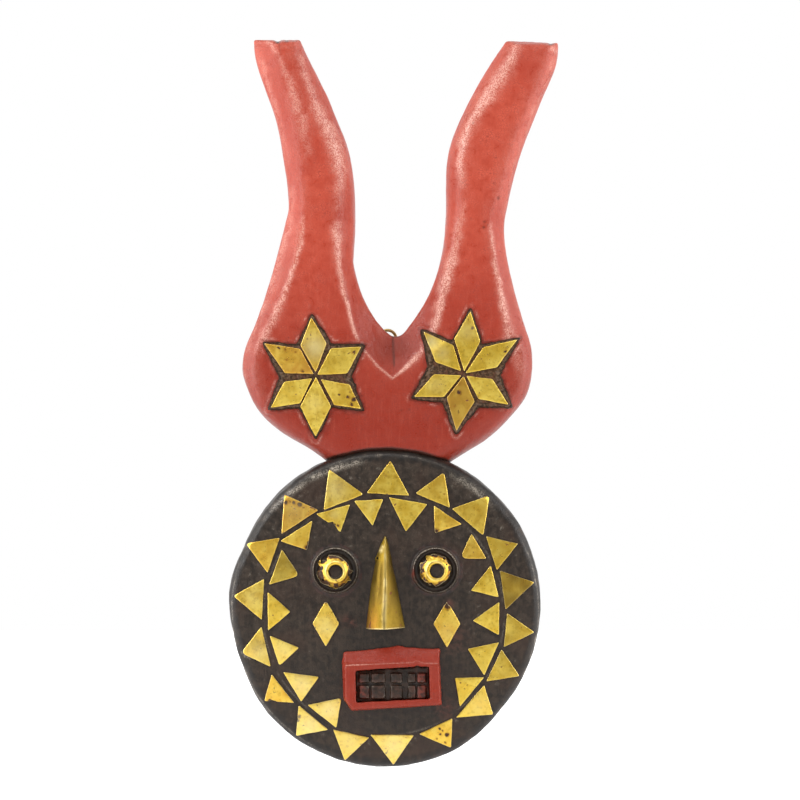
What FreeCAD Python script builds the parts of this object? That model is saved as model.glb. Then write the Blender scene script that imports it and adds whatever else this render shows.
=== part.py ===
import FreeCAD, Part
import math
import os

# Horned wall mask: a turned and dished face disc under a carved pair of horns, decked with
# cut brass sheet, and hung from a small D-ring nailed to its back.
#
# Frame, in millimetres: +Z is up along the mask's height, +X is the viewer's right, and the
# face looks along -Y. The wall is the plane y = 0. The origin lies on that plane, straight
# behind the inner top of the hanging ring, where the picture nail stands.
# Left and right are the viewer's. A bearing is counted in degrees from straight up, turning
# towards the viewer's right.

V = FreeCAD.Vector
FORWARD = V(0, -1, 0)

# Driving dimensions
SHEET = 1.2            # brass sheet, with its slight pillow
DISC_X = -1.5          # centre of the face disc
DISC_Z = -195.0
DISC_R = 110.0         # widest radius of the disc
DISC_EDGE_Y = -33.0    # where the side turns into the rounded front edge
DISC_TURN_R = 103.0    # where the rounded edge meets the crowned front
DISC_TURN_Y = -40.5
DISC_FRONT_Y = -47.0   # crown of the disc
DISH_RIM_R = 90.0      # hollow in the disc's back
DISH_FLOOR_R = 76.0
DISH_DEPTH = 27.0

HEAD_BACK_Y = -6.0     # the headpiece's back stands clear of the wall, for the hanger
HEAD_FRONT_Y = -35.5   # its front face, at the height of the origin
HEAD_LEAN = 1.8        # degrees that the front face leans back towards the horn tips
BEVEL_DEPTH = 11.0     # how far the bevels run back from the front face

BED_PROUD = 1.6        # star beds stand proud of the front face
BED_SEAT = 6.0         # and reach this far into it

EYE_X = 35.0           # eyes, from the disc's centre
EYE_Z = 28.0
EYE_BASE_Y = -45.3     # the disc's surface around each eye

SUN_X = DISC_X - 1.0   # centre of the two rings of brass plates
SUN_Z = DISC_Z - 3.5
OUTER_BASE_R = 86.4
INNER_BASE_R = 82.3

RING_WIRE_R = 1.1      # hanging ring
RING_ARC_R = 6.0
PIVOT_Z = -12.0
PIVOT_GAP = 0.05       # running clearance of the ring's bar in the strap's knuckle
STRAP_SHEET = 0.8
STRAP_HALF_WIDTH = 4.0
STRAP_END_Z = -32.0
RING_LEAN = 2.0        # degrees; the ring leans on the wood while it stands up
NAIL_R = 0.8
NAIL_HEAD_R = 2.2
NAIL_HEIGHTS = (-19.5, -28.5)
NAIL_TIP_Y = -19.0

KNUCKLE_R = RING_WIRE_R + PIVOT_GAP + STRAP_SHEET
PIVOT_Y = HEAD_BACK_Y + KNUCKLE_R

# Silhouette of the headpiece, side by side, as (x, z). A side that has a knee is two curves.
SILHOUETTE = {
    "left_tip": [(-94, 205.5), (-61.5, 205.5)],
    "left_inner_upper": [(-61.5, 205.5), (-54, 189.5), (-43.5, 168.5), (-34.5, 147.5),
                         (-27, 126.5), (-23.5, 105.5), (-22.5, 86), (-24, 49.5)],
    "left_inner_lower": [(-24, 49.5), (-18.5, 28.5), (-12, 14.5), (-5, 4.5), (-1.5, 1),
                         (3, -2.5), (6.5, -3)],
    "right_inner": [(6.5, -3), (11, -1), (15, 4), (20, 11), (34, 39), (39, 60), (41, 81),
                    (41, 105.5), (43, 126.5), (50, 147.5), (60.5, 168.5), (73, 189.5),
                    (83.5, 204.5)],
    "right_tip": [(83.5, 204.5), (120, 203.5)],
    "right_outer_upper": [(120, 203.5), (119, 190), (110.5, 168.5), (102, 147.5),
                          (94, 126.5), (88, 105.5), (82, 78)],
    "right_outer_lower": [(82, 78), (84.5, 49.5), (89.5, 28.5), (96, 6), (101, -10),
                          (102, -22), (97, -45), (86.5, -59), (72, -73), (50, -87),
                          (34, -99)],
    "foot": [(34, -99), (-34, -99)],
    "left_outer_lower": [(-34, -99), (-46, -87.5), (-57, -80), (-69.5, -73), (-79.5, -66),
                         (-92.5, -52), (-99, -38), (-102, -24), (-99.5, -9.5), (-95.5, 0),
                         (-85, 28.5), (-76, 60), (-69.5, 86)],
    "left_outer_upper": [(-69.5, 86), (-70.5, 103), (-73.5, 124), (-78, 147.5),
                         (-85, 168.5), (-92, 189.5), (-94, 205.5)],
}

# Ridge where the bevels meet the front face, with the same sides in the same order.
RIDGE = {
    "left_tip": [(-77, 203), (-64.5, 203.5)],
    "left_inner_upper": [(-64.5, 203.5), (-56.5, 174), (-49, 153), (-38, 133), (-34, 114),
                         (-35.5, 86), (-36.5, 65), (-34, 47)],
    "left_inner_lower": [(-34, 47), (-25.5, 11.5), (-21.5, -3.5), (-16.5, -14), (3, -32.5)],
    "right_inner": [(3, -32.5), (25.5, -13), (33.5, 7.5), (38, 31), (45, 58.5),
                    (51.5, 90.5), (52, 121), (54.5, 138.5), (64, 155.5), (78, 179),
                    (90.5, 201.5)],
    "right_tip": [(90.5, 201.5), (116, 201.5)],
    "right_outer_upper": [(116, 201.5), (104.5, 169), (93.5, 145), (81, 108), (70.5, 78)],
    "right_outer_lower": [(70.5, 78), (74.5, 58.5), (79.5, 31), (86.5, 0.5), (93, -9),
                          (96, -20), (95.5, -30), (91.5, -42), (83, -55.5), (65, -70),
                          (51, -79), (38, -87), (28, -99)],
    "foot": [(28, -99), (-28, -99)],
    "left_outer_lower": [(-28, -99), (-36, -88), (-48.5, -80), (-62.5, -71.5), (-74.5, -63),
                         (-84.5, -54), (-90.5, -42.5), (-93.5, -28.5), (-92, -14.5),
                         (-86.5, -0.5), (-78, 17), (-68, 40.5), (-63.5, 64), (-59, 82)],
    "left_outer_upper": [(-59, 82), (-60, 117), (-63.5, 148.5), (-70.5, 176.5),
                         (-77, 203)],
}

# The two rings of triangles, each plate cut by eye: bearing of its base's middle, width of
# the base, reach from base to tip, sideways lean of the tip, turn of the base in degrees, and
# how far outside its ring the plate was set.
OUTER_PLATES = [
    (2, 29.8, 23.8, 0.8, -1.5, -0.5), (23, 26.5, 21.6, -0.3, 0.5, 1.7),
    (42, 29.0, 24.6, -1.3, 1.5, 2.3), (60, 25.0, 19.4, 3.5, -12.5, 1.3),
    (78, 27.6, 23.0, -0.6, -3.5, -0.4), (97, 24.2, 20.6, -1.0, 1, 0),
    (114.5, 25.0, 19.4, -0.6, -1, -1.0), (135, 30.4, 18.2, -5.0, 4, 0),
    (155, 26.0, 18.5, -3.4, 0, 0), (176, 30.6, 21.4, 0.6, -4.5, -1.3),
    (195.5, 26.0, 19.6, -0.8, 3, 0.3), (214.5, 26.8, 17.6, 2.8, -5, 1.4),
    (234, 25.5, 15.8, 0.6, 2, 1.7), (255, 29.2, 18.2, 0.5, -2, 0),
    (277.5, 28.8, 21.0, -0.4, 4.5, 0), (298.5, 26.2, 21.2, -2.0, 9.5, 2.2),
    (318, 31.0, 21.6, 4.8, -9, 2.6), (340.5, 30.4, 25.2, -2.1, 2, -1.2),
]
INNER_PLATES = [
    (12, 27.5, 21.6, 2.9, 2, 0.8), (32.5, 23.6, 15.6, -0.8, -1.5, 1.8),
    (54, 20.4, 16.2, -0.9, -5, 0.6), (73, 23.0, 18.0, 1.2, -3, -0.4),
    (91.5, 23.5, 18.4, 2.0, 0.5, -0.8), (112, 25.5, 18.4, -0.3, -2, 0),
    (131, 26.8, 15.6, 0.4, 1.5, 0.5), (211.5, 26.0, 18.4, -5.0, -7, 1.7),
    (232, 24.6, 19.2, -5.9, -7, 0), (252, 22.3, 17.0, -3.1, -0.5, -1.2),
    (272, 27.2, 16.0, 0.2, 2.5, 0), (294, 26.3, 18.0, 1.4, 4, 1.7),
    (314, 26.6, 14.8, -4.6, -13.5, 3.8), (334.5, 24.8, 16.8, -2.3, -9.5, 0.9),
    (352.5, 20.6, 18.3, 0.4, -4, -0.3),
]

# Cheek diamonds, from the disc's centre: (centre x, centre z, half width, half height)
CHEEK_DIAMONDS = {"left": (-41.5, -9.1, 9.4, 16.2), "right": (43.1, -9.4, 9.4, 16.6)}

# Stars: centre, then six rays as (bearing, reach, where the ray is widest, width, distance
# from the centre to its inner point)
STARS = {
    "left": ((-50.0, -31.0), [
        (-4.5, 41.0, 21.9, 18.6, 2.0), (57.5, 37.8, 19.2, 21.0, 0.8),
        (126.5, 39.2, 22.6, 18.0, 4.0), (180.5, 43.2, 21.7, 21.6, 0.8),
        (234.5, 39.0, 20.4, 19.0, 3.2), (302, 42.8, 19.3, 20.2, 1.9)]),
    "right": ((53.5, -30.0), [
        (5.8, 44.8, 24.0, 18.2, 1.8), (57, 44.8, 21.8, 17.0, 1.0),
        (124.5, 38.0, 18.4, 17.0, 1.8), (187.5, 40.4, 18.0, 19.6, 1.2),
        (245.5, 38.4, 19.2, 17.4, 1.8), (316.5, 41.4, 19.8, 17.2, 3.0)]),
}
BED_TIP_MARGIN = 2.4   # the bed shows round the rays
BED_VALLEY_R = 24.6


def disc_point(x, z, y=0.0):
    """A point given from the disc's centre."""
    return V(DISC_X + x, y, DISC_Z + z)


def polar(centre_x, centre_z, bearing, radius, y=0.0):
    a = math.radians(bearing)
    return V(centre_x + radius * math.sin(a), y, centre_z + radius * math.cos(a))


def prism(points, y_from, y_to):
    """A straight-sided prism along Y over a closed outline of points."""
    base = [V(p.x, y_from, p.z) for p in points]
    wire = Part.makePolygon(base + [base[0]])
    return Part.Face(wire).extrude(V(0, y_to - y_from, 0))


def turned(edges, x, z):
    """A solid turned about the line along Y through (x, z) from a profile drawn at x = 0."""
    face = Part.Face(Part.Wire(edges))
    face.translate(V(x, 0, z))
    return face.revolve(V(x, 0, z), V(0, 1, 0), 360)


def line(a, b):
    return Part.LineSegment(a, b).toShape()


def arc(a, middle, b):
    return Part.Arc(a, middle, b).toShape()


def save(name, shape):
    shape = shape.removeSplitter()
    if not shape.isValid() or shape.Volume <= 0:
        raise RuntimeError(f"{name} is not a valid solid")
    shape.exportStep(os.path.join("parts", f"{name}.step"))
    box = shape.optimalBoundingBox(False)
    print(f"{name}: {len(shape.Solids)} solid(s), {shape.Volume:.1f} mm3, "
          f"x {box.XMin:.1f}..{box.XMax:.1f} y {box.YMin:.1f}..{box.YMax:.1f} "
          f"z {box.ZMin:.1f}..{box.ZMax:.1f}")
    return shape


# Face disc

def front_edges(lift):
    """The crowned front and its rounded edge, as a profile from the axis outwards, lifted
    off the wood by the given amount."""
    rise = DISC_TURN_Y - DISC_FRONT_Y
    crown_r = (DISC_TURN_R ** 2 + rise ** 2) / (2 * rise)
    crown_y = DISC_FRONT_Y + crown_r
    lifted = crown_r + lift
    half = math.asin(DISC_TURN_R / crown_r)

    def on_crown(angle):
        return V(lifted * math.sin(angle), crown_y - lifted * math.cos(angle), 0)

    # The edge's round starts square to the crown and ends square to the side.
    turn = on_crown(half)
    outward = V(math.sin(half), -math.cos(half), 0)
    side_r = DISC_R - 0.6 + lift
    edge_r = (side_r - turn.x) / (1 - outward.x)
    centre = turn - outward * edge_r
    middle_angle = (math.atan2(outward.y, outward.x)) / 2
    middle = centre + V(math.cos(middle_angle), math.sin(middle_angle), 0) * edge_r
    end = centre + V(edge_r, 0, 0)
    return [arc(on_crown(0), on_crown(half / 2), turn), arc(turn, middle, end)], end


def disc_blank():
    """The disc with no hollow, as the headpiece is scribed to it."""
    edges, shoulder = front_edges(0)
    front = V(0, DISC_FRONT_Y, 0)
    widest = V(DISC_R, -15, 0)
    rim = V(DISC_R - 1.5, 0, 0)
    side = arc(shoulder, widest, rim)
    return turned(edges + [side, line(rim, V(0, 0, 0)), line(V(0, 0, 0), front)],
                  DISC_X, DISC_Z)


def dish():
    """The hollow in the disc's back: a flat floor, a rounded corner and a sloping wall."""
    rim = V(DISH_RIM_R, 1, 0)
    low = V(DISH_FLOOR_R + 4, 7 - DISH_DEPTH, 0)
    floor = V(DISH_FLOOR_R - 7, -DISH_DEPTH, 0)
    bend = V(DISH_FLOOR_R - 0.6, 2.4 - DISH_DEPTH, 0)
    axis_floor = V(0, -DISH_DEPTH, 0)
    return turned([line(rim, low), arc(low, bend, floor), line(floor, axis_floor),
                   line(axis_floor, V(0, 1, 0)), line(V(0, 1, 0), rim)], DISC_X, DISC_Z)


def shell(lift_from, lift_to):
    """The space between two lifts over the disc's front, for the plates that follow it."""
    inner, inner_end = front_edges(lift_from)
    outer, outer_end = front_edges(lift_to)
    inner_axis = V(0, DISC_FRONT_Y - lift_from, 0)
    outer_axis = V(0, DISC_FRONT_Y - lift_to, 0)
    return turned(outer + [line(outer_end, inner_end)] + inner[::-1]
                  + [line(inner_axis, outer_axis)], DISC_X, DISC_Z)


def eye_boss(x):
    """The carved socket of an eye: a round boss inside a raised collar."""
    y = EYE_BASE_Y
    boss = turned([
        line(V(0, y + 8, 0), V(0, y - 5.6, 0)),
        line(V(0, y - 5.6, 0), V(5.4, y - 5.6, 0)),
        arc(V(5.4, y - 5.6, 0), V(9.6, y - 4.9, 0), V(12.0, y - 1.2, 0)),
        line(V(12.0, y - 1.2, 0), V(12.0, y + 8, 0)),
        line(V(12.0, y + 8, 0), V(0, y + 8, 0))], DISC_X + x, DISC_Z + EYE_Z)
    collar = turned([
        line(V(14.3, y + 8, 0), V(14.3, y - 3.2, 0)),
        arc(V(14.3, y - 3.2, 0), V(15.2, y - 4.0, 0), V(16.1, y - 3.3, 0)),
        line(V(16.1, y - 3.3, 0), V(18.8, y + 0.6, 0)),
        line(V(18.8, y + 0.6, 0), V(18.8, y + 8, 0)),
        line(V(18.8, y + 8, 0), V(14.3, y + 8, 0))], DISC_X + x, DISC_Z + EYE_Z)
    return boss.fuse(collar)


def eye_cap(x):
    """A pierced brass cap pressed over the boss, with the wood showing as the pupil."""
    y = EYE_BASE_Y
    return turned([
        line(V(5.4, y - 5.6, 0), V(5.4, y - 6.6, 0)),
        arc(V(5.4, y - 6.6, 0), V(10.1, y - 5.7, 0), V(12.9, y - 1.2, 0)),
        line(V(12.9, y - 1.2, 0), V(12.0, y - 1.2, 0)),
        arc(V(12.0, y - 1.2, 0), V(9.6, y - 4.9, 0), V(5.4, y - 5.6, 0))],
        DISC_X + x, DISC_Z + EYE_Z)


# Brass on the disc

def triangle(base_r, bearing, width, reach, lean, turn):
    """Corners of a triangular plate whose base lies across a ring of the given radius. A
    positive reach points outwards."""
    middle_r = math.sqrt(base_r ** 2 - (width / 2) ** 2)
    a = math.radians(bearing)
    out = V(math.sin(a), 0, math.cos(a))
    across = V(math.cos(a), 0, -math.sin(a))
    middle = V(SUN_X, 0, SUN_Z) + out * middle_r
    t = math.radians(turn)
    half = (across * math.cos(t) + out * math.sin(t)) * (width / 2)
    return [middle - half, middle + half, middle + across * lean + out * reach]


def sheet_over_disc(corners, skin):
    """A flat cut of sheet laid on the disc, so that it follows the crown and the edge."""
    return prism(corners, DISC_FRONT_Y - 5, -28).common(skin)


def diamond(x, z, half_width, half_height):
    return [disc_point(x, z + half_height), disc_point(x + half_width, z),
            disc_point(x, z - half_height), disc_point(x - half_width, z)]


def nose_section(z, half_width, height, foot_y):
    """One cross-section of the bent sheet: two bowed cheeks that meet on a ridge."""
    ridge_y = DISC_FRONT_Y + 1 - height
    left = disc_point(-half_width, z, foot_y)
    right = disc_point(half_width, z, foot_y)
    cheek_y = DISC_FRONT_Y + 1
    left_cheek = disc_point(-half_width, z, cheek_y)
    right_cheek = disc_point(half_width, z, cheek_y)
    ridge = disc_point(0, z, ridge_y)
    bow_y = cheek_y - 0.66 * height
    return Part.Wire([
        line(left, left_cheek),
        arc(left_cheek, disc_point(-0.66 * half_width, z, bow_y), ridge),
        arc(ridge, disc_point(0.66 * half_width, z, bow_y), right_cheek),
        line(right_cheek, right), line(right, left)])


def nose(disc):
    """The nose: brass sheet bent to a tall half cone, open below."""
    foot_y = DISC_FRONT_Y + 6
    outside = Part.makeLoft([nose_section(-12.2, 13.1, 18.5, foot_y),
                             nose_section(36.0, 5.2, 8.5, foot_y),
                             nose_section(51.5, 0.5, 1.6, foot_y)], True, True)
    inside = Part.makeLoft([nose_section(-14.2, 12.4, 17.6, foot_y + 1),
                            nose_section(36.0, 4.1, 6.8, foot_y + 1),
                            nose_section(44.0, 1.6, 3.2, foot_y + 1)], True, True)
    return outside.cut(inside).cut(disc)


# Mouth

MOUTH_OUTLINE = [(-28.9, -28.9), (8.2, -25.0), (37.8, -27.2), (39.6, -66.2),
                 (-23.6, -70.0), (-29.2, -62.3), (-30.4, -34.4)]
MOUTH_FACE = [(-27.6, -38.2), (8.2, -37.0), (37.2, -36.3), (38.8, -65.4),
              (-23.2, -69.0), (-27.6, -61.8), (-28.0, -42.0)]
MOUTH_FACE_Y = -55.5
RECESS_OUTLINE = [(-20.8, -42.2), (20.6, -39.8), (22.4, -36.9), (24.6, -39.6),
                  (30.4, -39.4), (31.4, -61.4), (-20.2, -64.0)]
RECESS_Y = -49.5
TOOTH_Y = -52.2
TOOTH_COLUMNS = [(-18.0, -11.3), (-9.6, -0.1), (4.0, 11.6), (16.0, 21.0), (22.4, 28.4)]
TOOTH_ROWS = [(-50.2, -43.9), (-61.4, -52.3)]


def mouth_frame(disc):
    """The lips: a block with a wide upper bevel, let through for the teeth."""
    back_y = DISC_FRONT_Y + 5
    outer = [Part.makePolygon([disc_point(x, z, y) for x, z in outline + outline[:1]])
             for outline, y in ((MOUTH_OUTLINE, back_y), (MOUTH_OUTLINE, DISC_FRONT_Y - 1.5),
                                (MOUTH_FACE, MOUTH_FACE_Y))]
    block = Part.makeLoft(outer, True, True)
    return block.cut(mouth_opening(back_y + 1, MOUTH_FACE_Y - 1)).cut(disc)


def mouth_opening(y_from, y_to):
    return prism([disc_point(x, z) for x, z in RECESS_OUTLINE], y_from, y_to)


def teeth(disc):
    """Two rows of teeth carved on one slip of wood that fills the opening's floor."""
    slip = mouth_opening(DISC_FRONT_Y + 5, RECESS_Y)
    for left, right in TOOTH_COLUMNS:
        for low, high in TOOTH_ROWS:
            corners = [disc_point(x, z) for x, z in
                       ((left, low), (right, low), (right, high), (left, high))]
            slip = slip.fuse(prism(corners, RECESS_Y + 1, TOOTH_Y))
    return slip.cut(disc)


# Headpiece

def head_placement():
    """Carries a drawing with y = 0 on the headpiece's front face into the mask's frame."""
    return FreeCAD.Placement(V(0, HEAD_FRONT_Y, 0), FreeCAD.Rotation(V(1, 0, 0), -HEAD_LEAN))


def smooth(points, level_at=None):
    """A curve through the points. level_at names the end where it runs level, in the fork."""
    if len(points) == 2:
        return line(*points)
    curve = Part.BSplineCurve()
    if level_at is None:
        curve.interpolate(points)
        return curve.toShape()
    flagged = len(points) - 1 if level_at == "end" else 0
    curve.interpolate(Points=points, Tangents=[V(1, 0, 0)] * len(points),
                      TangentFlags=[i == flagged for i in range(len(points))])
    return curve.toShape()


def outline_wire(sides, y, level_fork):
    edges = []
    for name, pairs in sides.items():
        level_at = None
        if level_fork and name == "left_inner_lower":
            level_at = "end"
        if level_fork and name == "right_inner":
            level_at = "start"
        edges.append(smooth([V(x, y, z) for x, z in pairs], level_at))
    return Part.Wire(edges)


def headpiece_blank():
    """Both horns and the block under them, with bevels all round the front face."""
    sections = [outline_wire(SILHOUETTE, 40.0, True),
                outline_wire(SILHOUETTE, BEVEL_DEPTH, True),
                outline_wire(RIDGE, 0.0, False)]
    blank = Part.makeLoft(sections, True, True)
    blank.Placement = head_placement()
    wall_side = Part.makeBox(400, 100, 500, V(-200, HEAD_BACK_Y, -200))
    return blank.cut(wall_side)


def star_bed(star):
    """A six-pointed bed of dark mastic, let into the front face and standing proud of it."""
    (cx, cz), rays = STARS[star]
    corners = []
    for i, (bearing, reach, *_) in enumerate(rays):
        following = rays[(i + 1) % len(rays)][0]
        if following < bearing:
            following += 360
        corners.append(polar(cx, cz, bearing, reach + BED_TIP_MARGIN))
        corners.append(polar(cx, cz, (bearing + following) / 2, BED_VALLEY_R))
    bed = prism(corners, BED_SEAT, -BED_PROUD)
    bed.Placement = head_placement()
    return bed


def star_ray(star, index):
    (cx, cz), rays = STARS[star]
    bearing, reach, waist, width, gap = rays[index]
    a = math.radians(bearing)
    out = V(math.sin(a), 0, math.cos(a))
    across = V(math.cos(a), 0, -math.sin(a)) * (width / 2)
    centre = V(cx, 0, cz)
    corners = [centre + out * gap, centre + out * waist + across,
               centre + out * reach, centre + out * waist - across]
    ray = prism(corners, -BED_PROUD, -BED_PROUD - SHEET)
    ray.Placement = head_placement()
    return ray


# Hanger

def nails():
    """Two round-headed nails, as (head and shank) solids."""
    made = []
    face_y = HEAD_BACK_Y + STRAP_SHEET
    for z in NAIL_HEIGHTS:
        head = turned([
            line(V(0, face_y, 0), V(0, face_y + 1.2, 0)),
            arc(V(0, face_y + 1.2, 0), V(1.4, face_y + 0.85, 0), V(NAIL_HEAD_R, face_y, 0)),
            line(V(NAIL_HEAD_R, face_y, 0), V(0, face_y, 0))], 0, z)
        shank = Part.makeCylinder(NAIL_R, face_y - NAIL_TIP_Y, V(0, NAIL_TIP_Y, z),
                                  V(0, 1, 0))
        made.append(head.fuse(shank))
    return made


def hanger_strap():
    """A strip of sheet rolled into a knuckle round the ring's bar."""
    leaf_end_z = STRAP_END_Z + STRAP_HALF_WIDTH
    leaf = Part.makeBox(2 * STRAP_HALF_WIDTH, STRAP_SHEET, PIVOT_Z - leaf_end_z,
                        V(-STRAP_HALF_WIDTH, HEAD_BACK_Y, leaf_end_z))
    leaf = leaf.fuse(Part.makeCylinder(STRAP_HALF_WIDTH, STRAP_SHEET,
                                       V(0, HEAD_BACK_Y, leaf_end_z), V(0, 1, 0)))
    axis_start = V(-STRAP_HALF_WIDTH, PIVOT_Y, PIVOT_Z)
    roll = Part.makeCylinder(KNUCKLE_R, 2 * STRAP_HALF_WIDTH, axis_start, V(1, 0, 0))
    bore = Part.makeCylinder(RING_WIRE_R + PIVOT_GAP, 2 * STRAP_HALF_WIDTH + 2,
                             axis_start - V(1, 0, 0), V(1, 0, 0))
    strap = leaf.fuse(roll).cut(bore)
    for z in NAIL_HEIGHTS:
        strap = strap.cut(Part.makeCylinder(NAIL_R, 4, V(0, HEAD_BACK_Y - 2, z), V(0, 1, 0)))
    return strap


def hanging_ring():
    """A D-shaped ring of wire, standing up from its straight bar."""
    corner = 2.0
    arc_z = RING_WIRE_R - RING_ARC_R
    side = RING_ARC_R

    def at(x, z):
        return V(x, PIVOT_Y, z)

    bend = corner * (1 - math.sqrt(0.5))
    path = Part.Wire([
        line(at(0, PIVOT_Z), at(side - corner, PIVOT_Z)),
        arc(at(side - corner, PIVOT_Z), at(side - bend, PIVOT_Z + bend),
            at(side, PIVOT_Z + corner)),
        line(at(side, PIVOT_Z + corner), at(side, arc_z)),
        arc(at(side, arc_z), at(0, arc_z + RING_ARC_R), at(-side, arc_z)),
        line(at(-side, arc_z), at(-side, PIVOT_Z + corner)),
        arc(at(-side, PIVOT_Z + corner), at(bend - side, PIVOT_Z + bend),
            at(corner - side, PIVOT_Z)),
        line(at(corner - side, PIVOT_Z), at(0, PIVOT_Z))])
    profile = Part.Wire(Part.makeCircle(RING_WIRE_R, at(0, PIVOT_Z), V(1, 0, 0)))
    ring = path.makePipeShell([profile], True, False)
    ring.rotate(at(0, PIVOT_Z), V(1, 0, 0), RING_LEAN)
    return ring


def main():
    os.makedirs("parts", exist_ok=True)

    blank = disc_blank()
    bosses = [eye_boss(-EYE_X), eye_boss(EYE_X)]
    face = blank.fuse(bosses).cut(dish())
    save("face_disc", face)
    save("eye_cap_left", eye_cap(-EYE_X))
    save("eye_cap_right", eye_cap(EYE_X))
    save("nose", nose(blank))
    save("mouth_frame", mouth_frame(blank))
    save("teeth", teeth(blank))

    skin = shell(0, SHEET)
    for number, (bearing, width, reach, lean, turn, outwards) in enumerate(OUTER_PLATES, 1):
        corners = triangle(OUTER_BASE_R + outwards, bearing, width, reach, lean, turn)
        save(f"outer_plate_{number:02d}", sheet_over_disc(corners, skin))
    for number, (bearing, width, reach, lean, turn, outwards) in enumerate(INNER_PLATES, 1):
        corners = triangle(INNER_BASE_R + outwards, bearing, width, -reach, lean, turn)
        save(f"inner_plate_{number:02d}", sheet_over_disc(corners, skin))
    for side, values in CHEEK_DIAMONDS.items():
        save(f"cheek_diamond_{side}", sheet_over_disc(diamond(*values), skin))

    head = headpiece_blank().cut(blank)
    for star in STARS:
        bed = star_bed(star)
        head = head.cut(bed)
        save(f"star_bed_{star}", bed)
        for index in range(len(STARS[star][1])):
            save(f"star_{star}_ray_{index + 1}", star_ray(star, index))
    fixings = nails()
    for nail in fixings:
        head = head.cut(nail)
    save("horn_headpiece", head)

    save("hanger_strap", hanger_strap())
    save("hanger_nails", Part.makeCompound(fixings))
    save("hanging_ring", hanging_ring())


main()
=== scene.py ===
import itertools
import math

import bpy
import numpy as np
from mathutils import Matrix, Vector, geometry


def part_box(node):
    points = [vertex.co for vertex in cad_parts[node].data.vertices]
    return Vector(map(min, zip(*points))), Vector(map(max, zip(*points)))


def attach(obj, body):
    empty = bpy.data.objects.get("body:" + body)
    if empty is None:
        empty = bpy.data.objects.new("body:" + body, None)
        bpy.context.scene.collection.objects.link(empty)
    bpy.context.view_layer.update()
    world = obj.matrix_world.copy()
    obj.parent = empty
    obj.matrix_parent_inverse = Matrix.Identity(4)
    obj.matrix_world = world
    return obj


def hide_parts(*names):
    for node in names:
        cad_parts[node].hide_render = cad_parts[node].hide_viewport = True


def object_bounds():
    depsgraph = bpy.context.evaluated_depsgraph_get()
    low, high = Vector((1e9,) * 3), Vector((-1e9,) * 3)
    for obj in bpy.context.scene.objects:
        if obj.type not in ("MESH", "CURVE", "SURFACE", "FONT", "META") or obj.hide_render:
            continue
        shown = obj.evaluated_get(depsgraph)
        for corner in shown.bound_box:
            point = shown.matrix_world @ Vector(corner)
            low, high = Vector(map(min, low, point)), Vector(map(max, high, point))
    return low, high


# Horned wall mask with brass plates. The CAD frame gives where the pieces are and their corners;
# the section of the disc and the lean of the headpiece repeat the CAD's dimensions. Here the
# wood is worn, the brass is cut, dented and tarnished, and each finish is procedural.
# Shapes are worked out in millimetres and turned into metres when a mesh is made.

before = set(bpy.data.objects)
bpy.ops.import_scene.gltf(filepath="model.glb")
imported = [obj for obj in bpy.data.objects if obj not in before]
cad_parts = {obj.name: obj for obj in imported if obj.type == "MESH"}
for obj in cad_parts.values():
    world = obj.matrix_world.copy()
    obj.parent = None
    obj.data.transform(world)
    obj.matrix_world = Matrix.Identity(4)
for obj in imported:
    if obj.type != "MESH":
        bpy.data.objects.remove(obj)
cad_box = [list(corner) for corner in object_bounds()]

MM = 0.001

# The face disc, from its turned profile
DISC_LOW, DISC_HIGH = (np.array(corner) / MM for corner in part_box("face_disc"))
DISC_X = (DISC_LOW[0] + DISC_HIGH[0]) / 2
DISC_Z = (DISC_LOW[2] + DISC_HIGH[2]) / 2
DISC_R = (DISC_HIGH[0] - DISC_LOW[0]) / 2
CROWN_Y = -47.0        # front of the crown
TURN_R = 103.0         # where the crown turns into the rounded edge
TURN_Y = -40.5
RIM_R = 89.5           # inner edge of the flat rim on the wall
WALL_R = 80.0          # where the hollow's wall bends to its floor
WALL_Y = -20.0
FLOOR_R = 69.0         # flat floor of the hollow
FLOOR_Y = -27.0
CROWN_RISE = TURN_Y - CROWN_Y
CROWN_R = (TURN_R ** 2 + CROWN_RISE ** 2) / (2 * CROWN_RISE)
TURN_ANGLE = math.asin(TURN_R / CROWN_R)
EDGE_R = (DISC_R - 0.6 - TURN_R) / (1 - math.sin(TURN_ANGLE))
EDGE_CENTRE_R = TURN_R - EDGE_R * math.sin(TURN_ANGLE)
EDGE_CENTRE_Y = TURN_Y + EDGE_R * math.cos(TURN_ANGLE)

# The ring scribed between the two rings of plates
GROOVE_X = DISC_X - 1.0
GROOVE_Z = DISC_Z - 3.5
GROOVE_R = 84.2

# Points along each part of the disc's section; the first four lie outside the hollow
CROWN_STEPS, EDGE_STEPS, SIDE_STEPS, RIM_STEPS, WALL_STEPS, FLOOR_STEPS = 88, 15, 20, 9, 14, 34
HOLLOW_STARTS = CROWN_STEPS + EDGE_STEPS + SIDE_STEPS + RIM_STEPS

# The headpiece's front face leans back
HEAD_FRONT_Y = -35.5
HEAD_LEAN = math.tan(math.radians(1.8))
HORN_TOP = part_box("horn_headpiece")[1].z / MM
BED_PROUD = 1.6

PLATE_EDGE = 0.55      # height of the sheet's cut side
PLATE_FACE = 1.05      # height of its face above the wood


# Repeatable noise

def lattice(i, j, k, seed):
    """A repeatable number from -1 to 1 for each whole-numbered point."""
    h = (i * 374761393 + j * 668265263 + k * 1440662683 + seed * 97531247) & 0xFFFFFFFF
    h = ((h ^ (h >> 13)) * 1274126177) & 0xFFFFFFFF
    h = ((h ^ (h >> 15)) * 2246822519) & 0xFFFFFFFF
    return ((h ^ (h >> 16)) & 0xFFFF) / 32767.5 - 1


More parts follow.
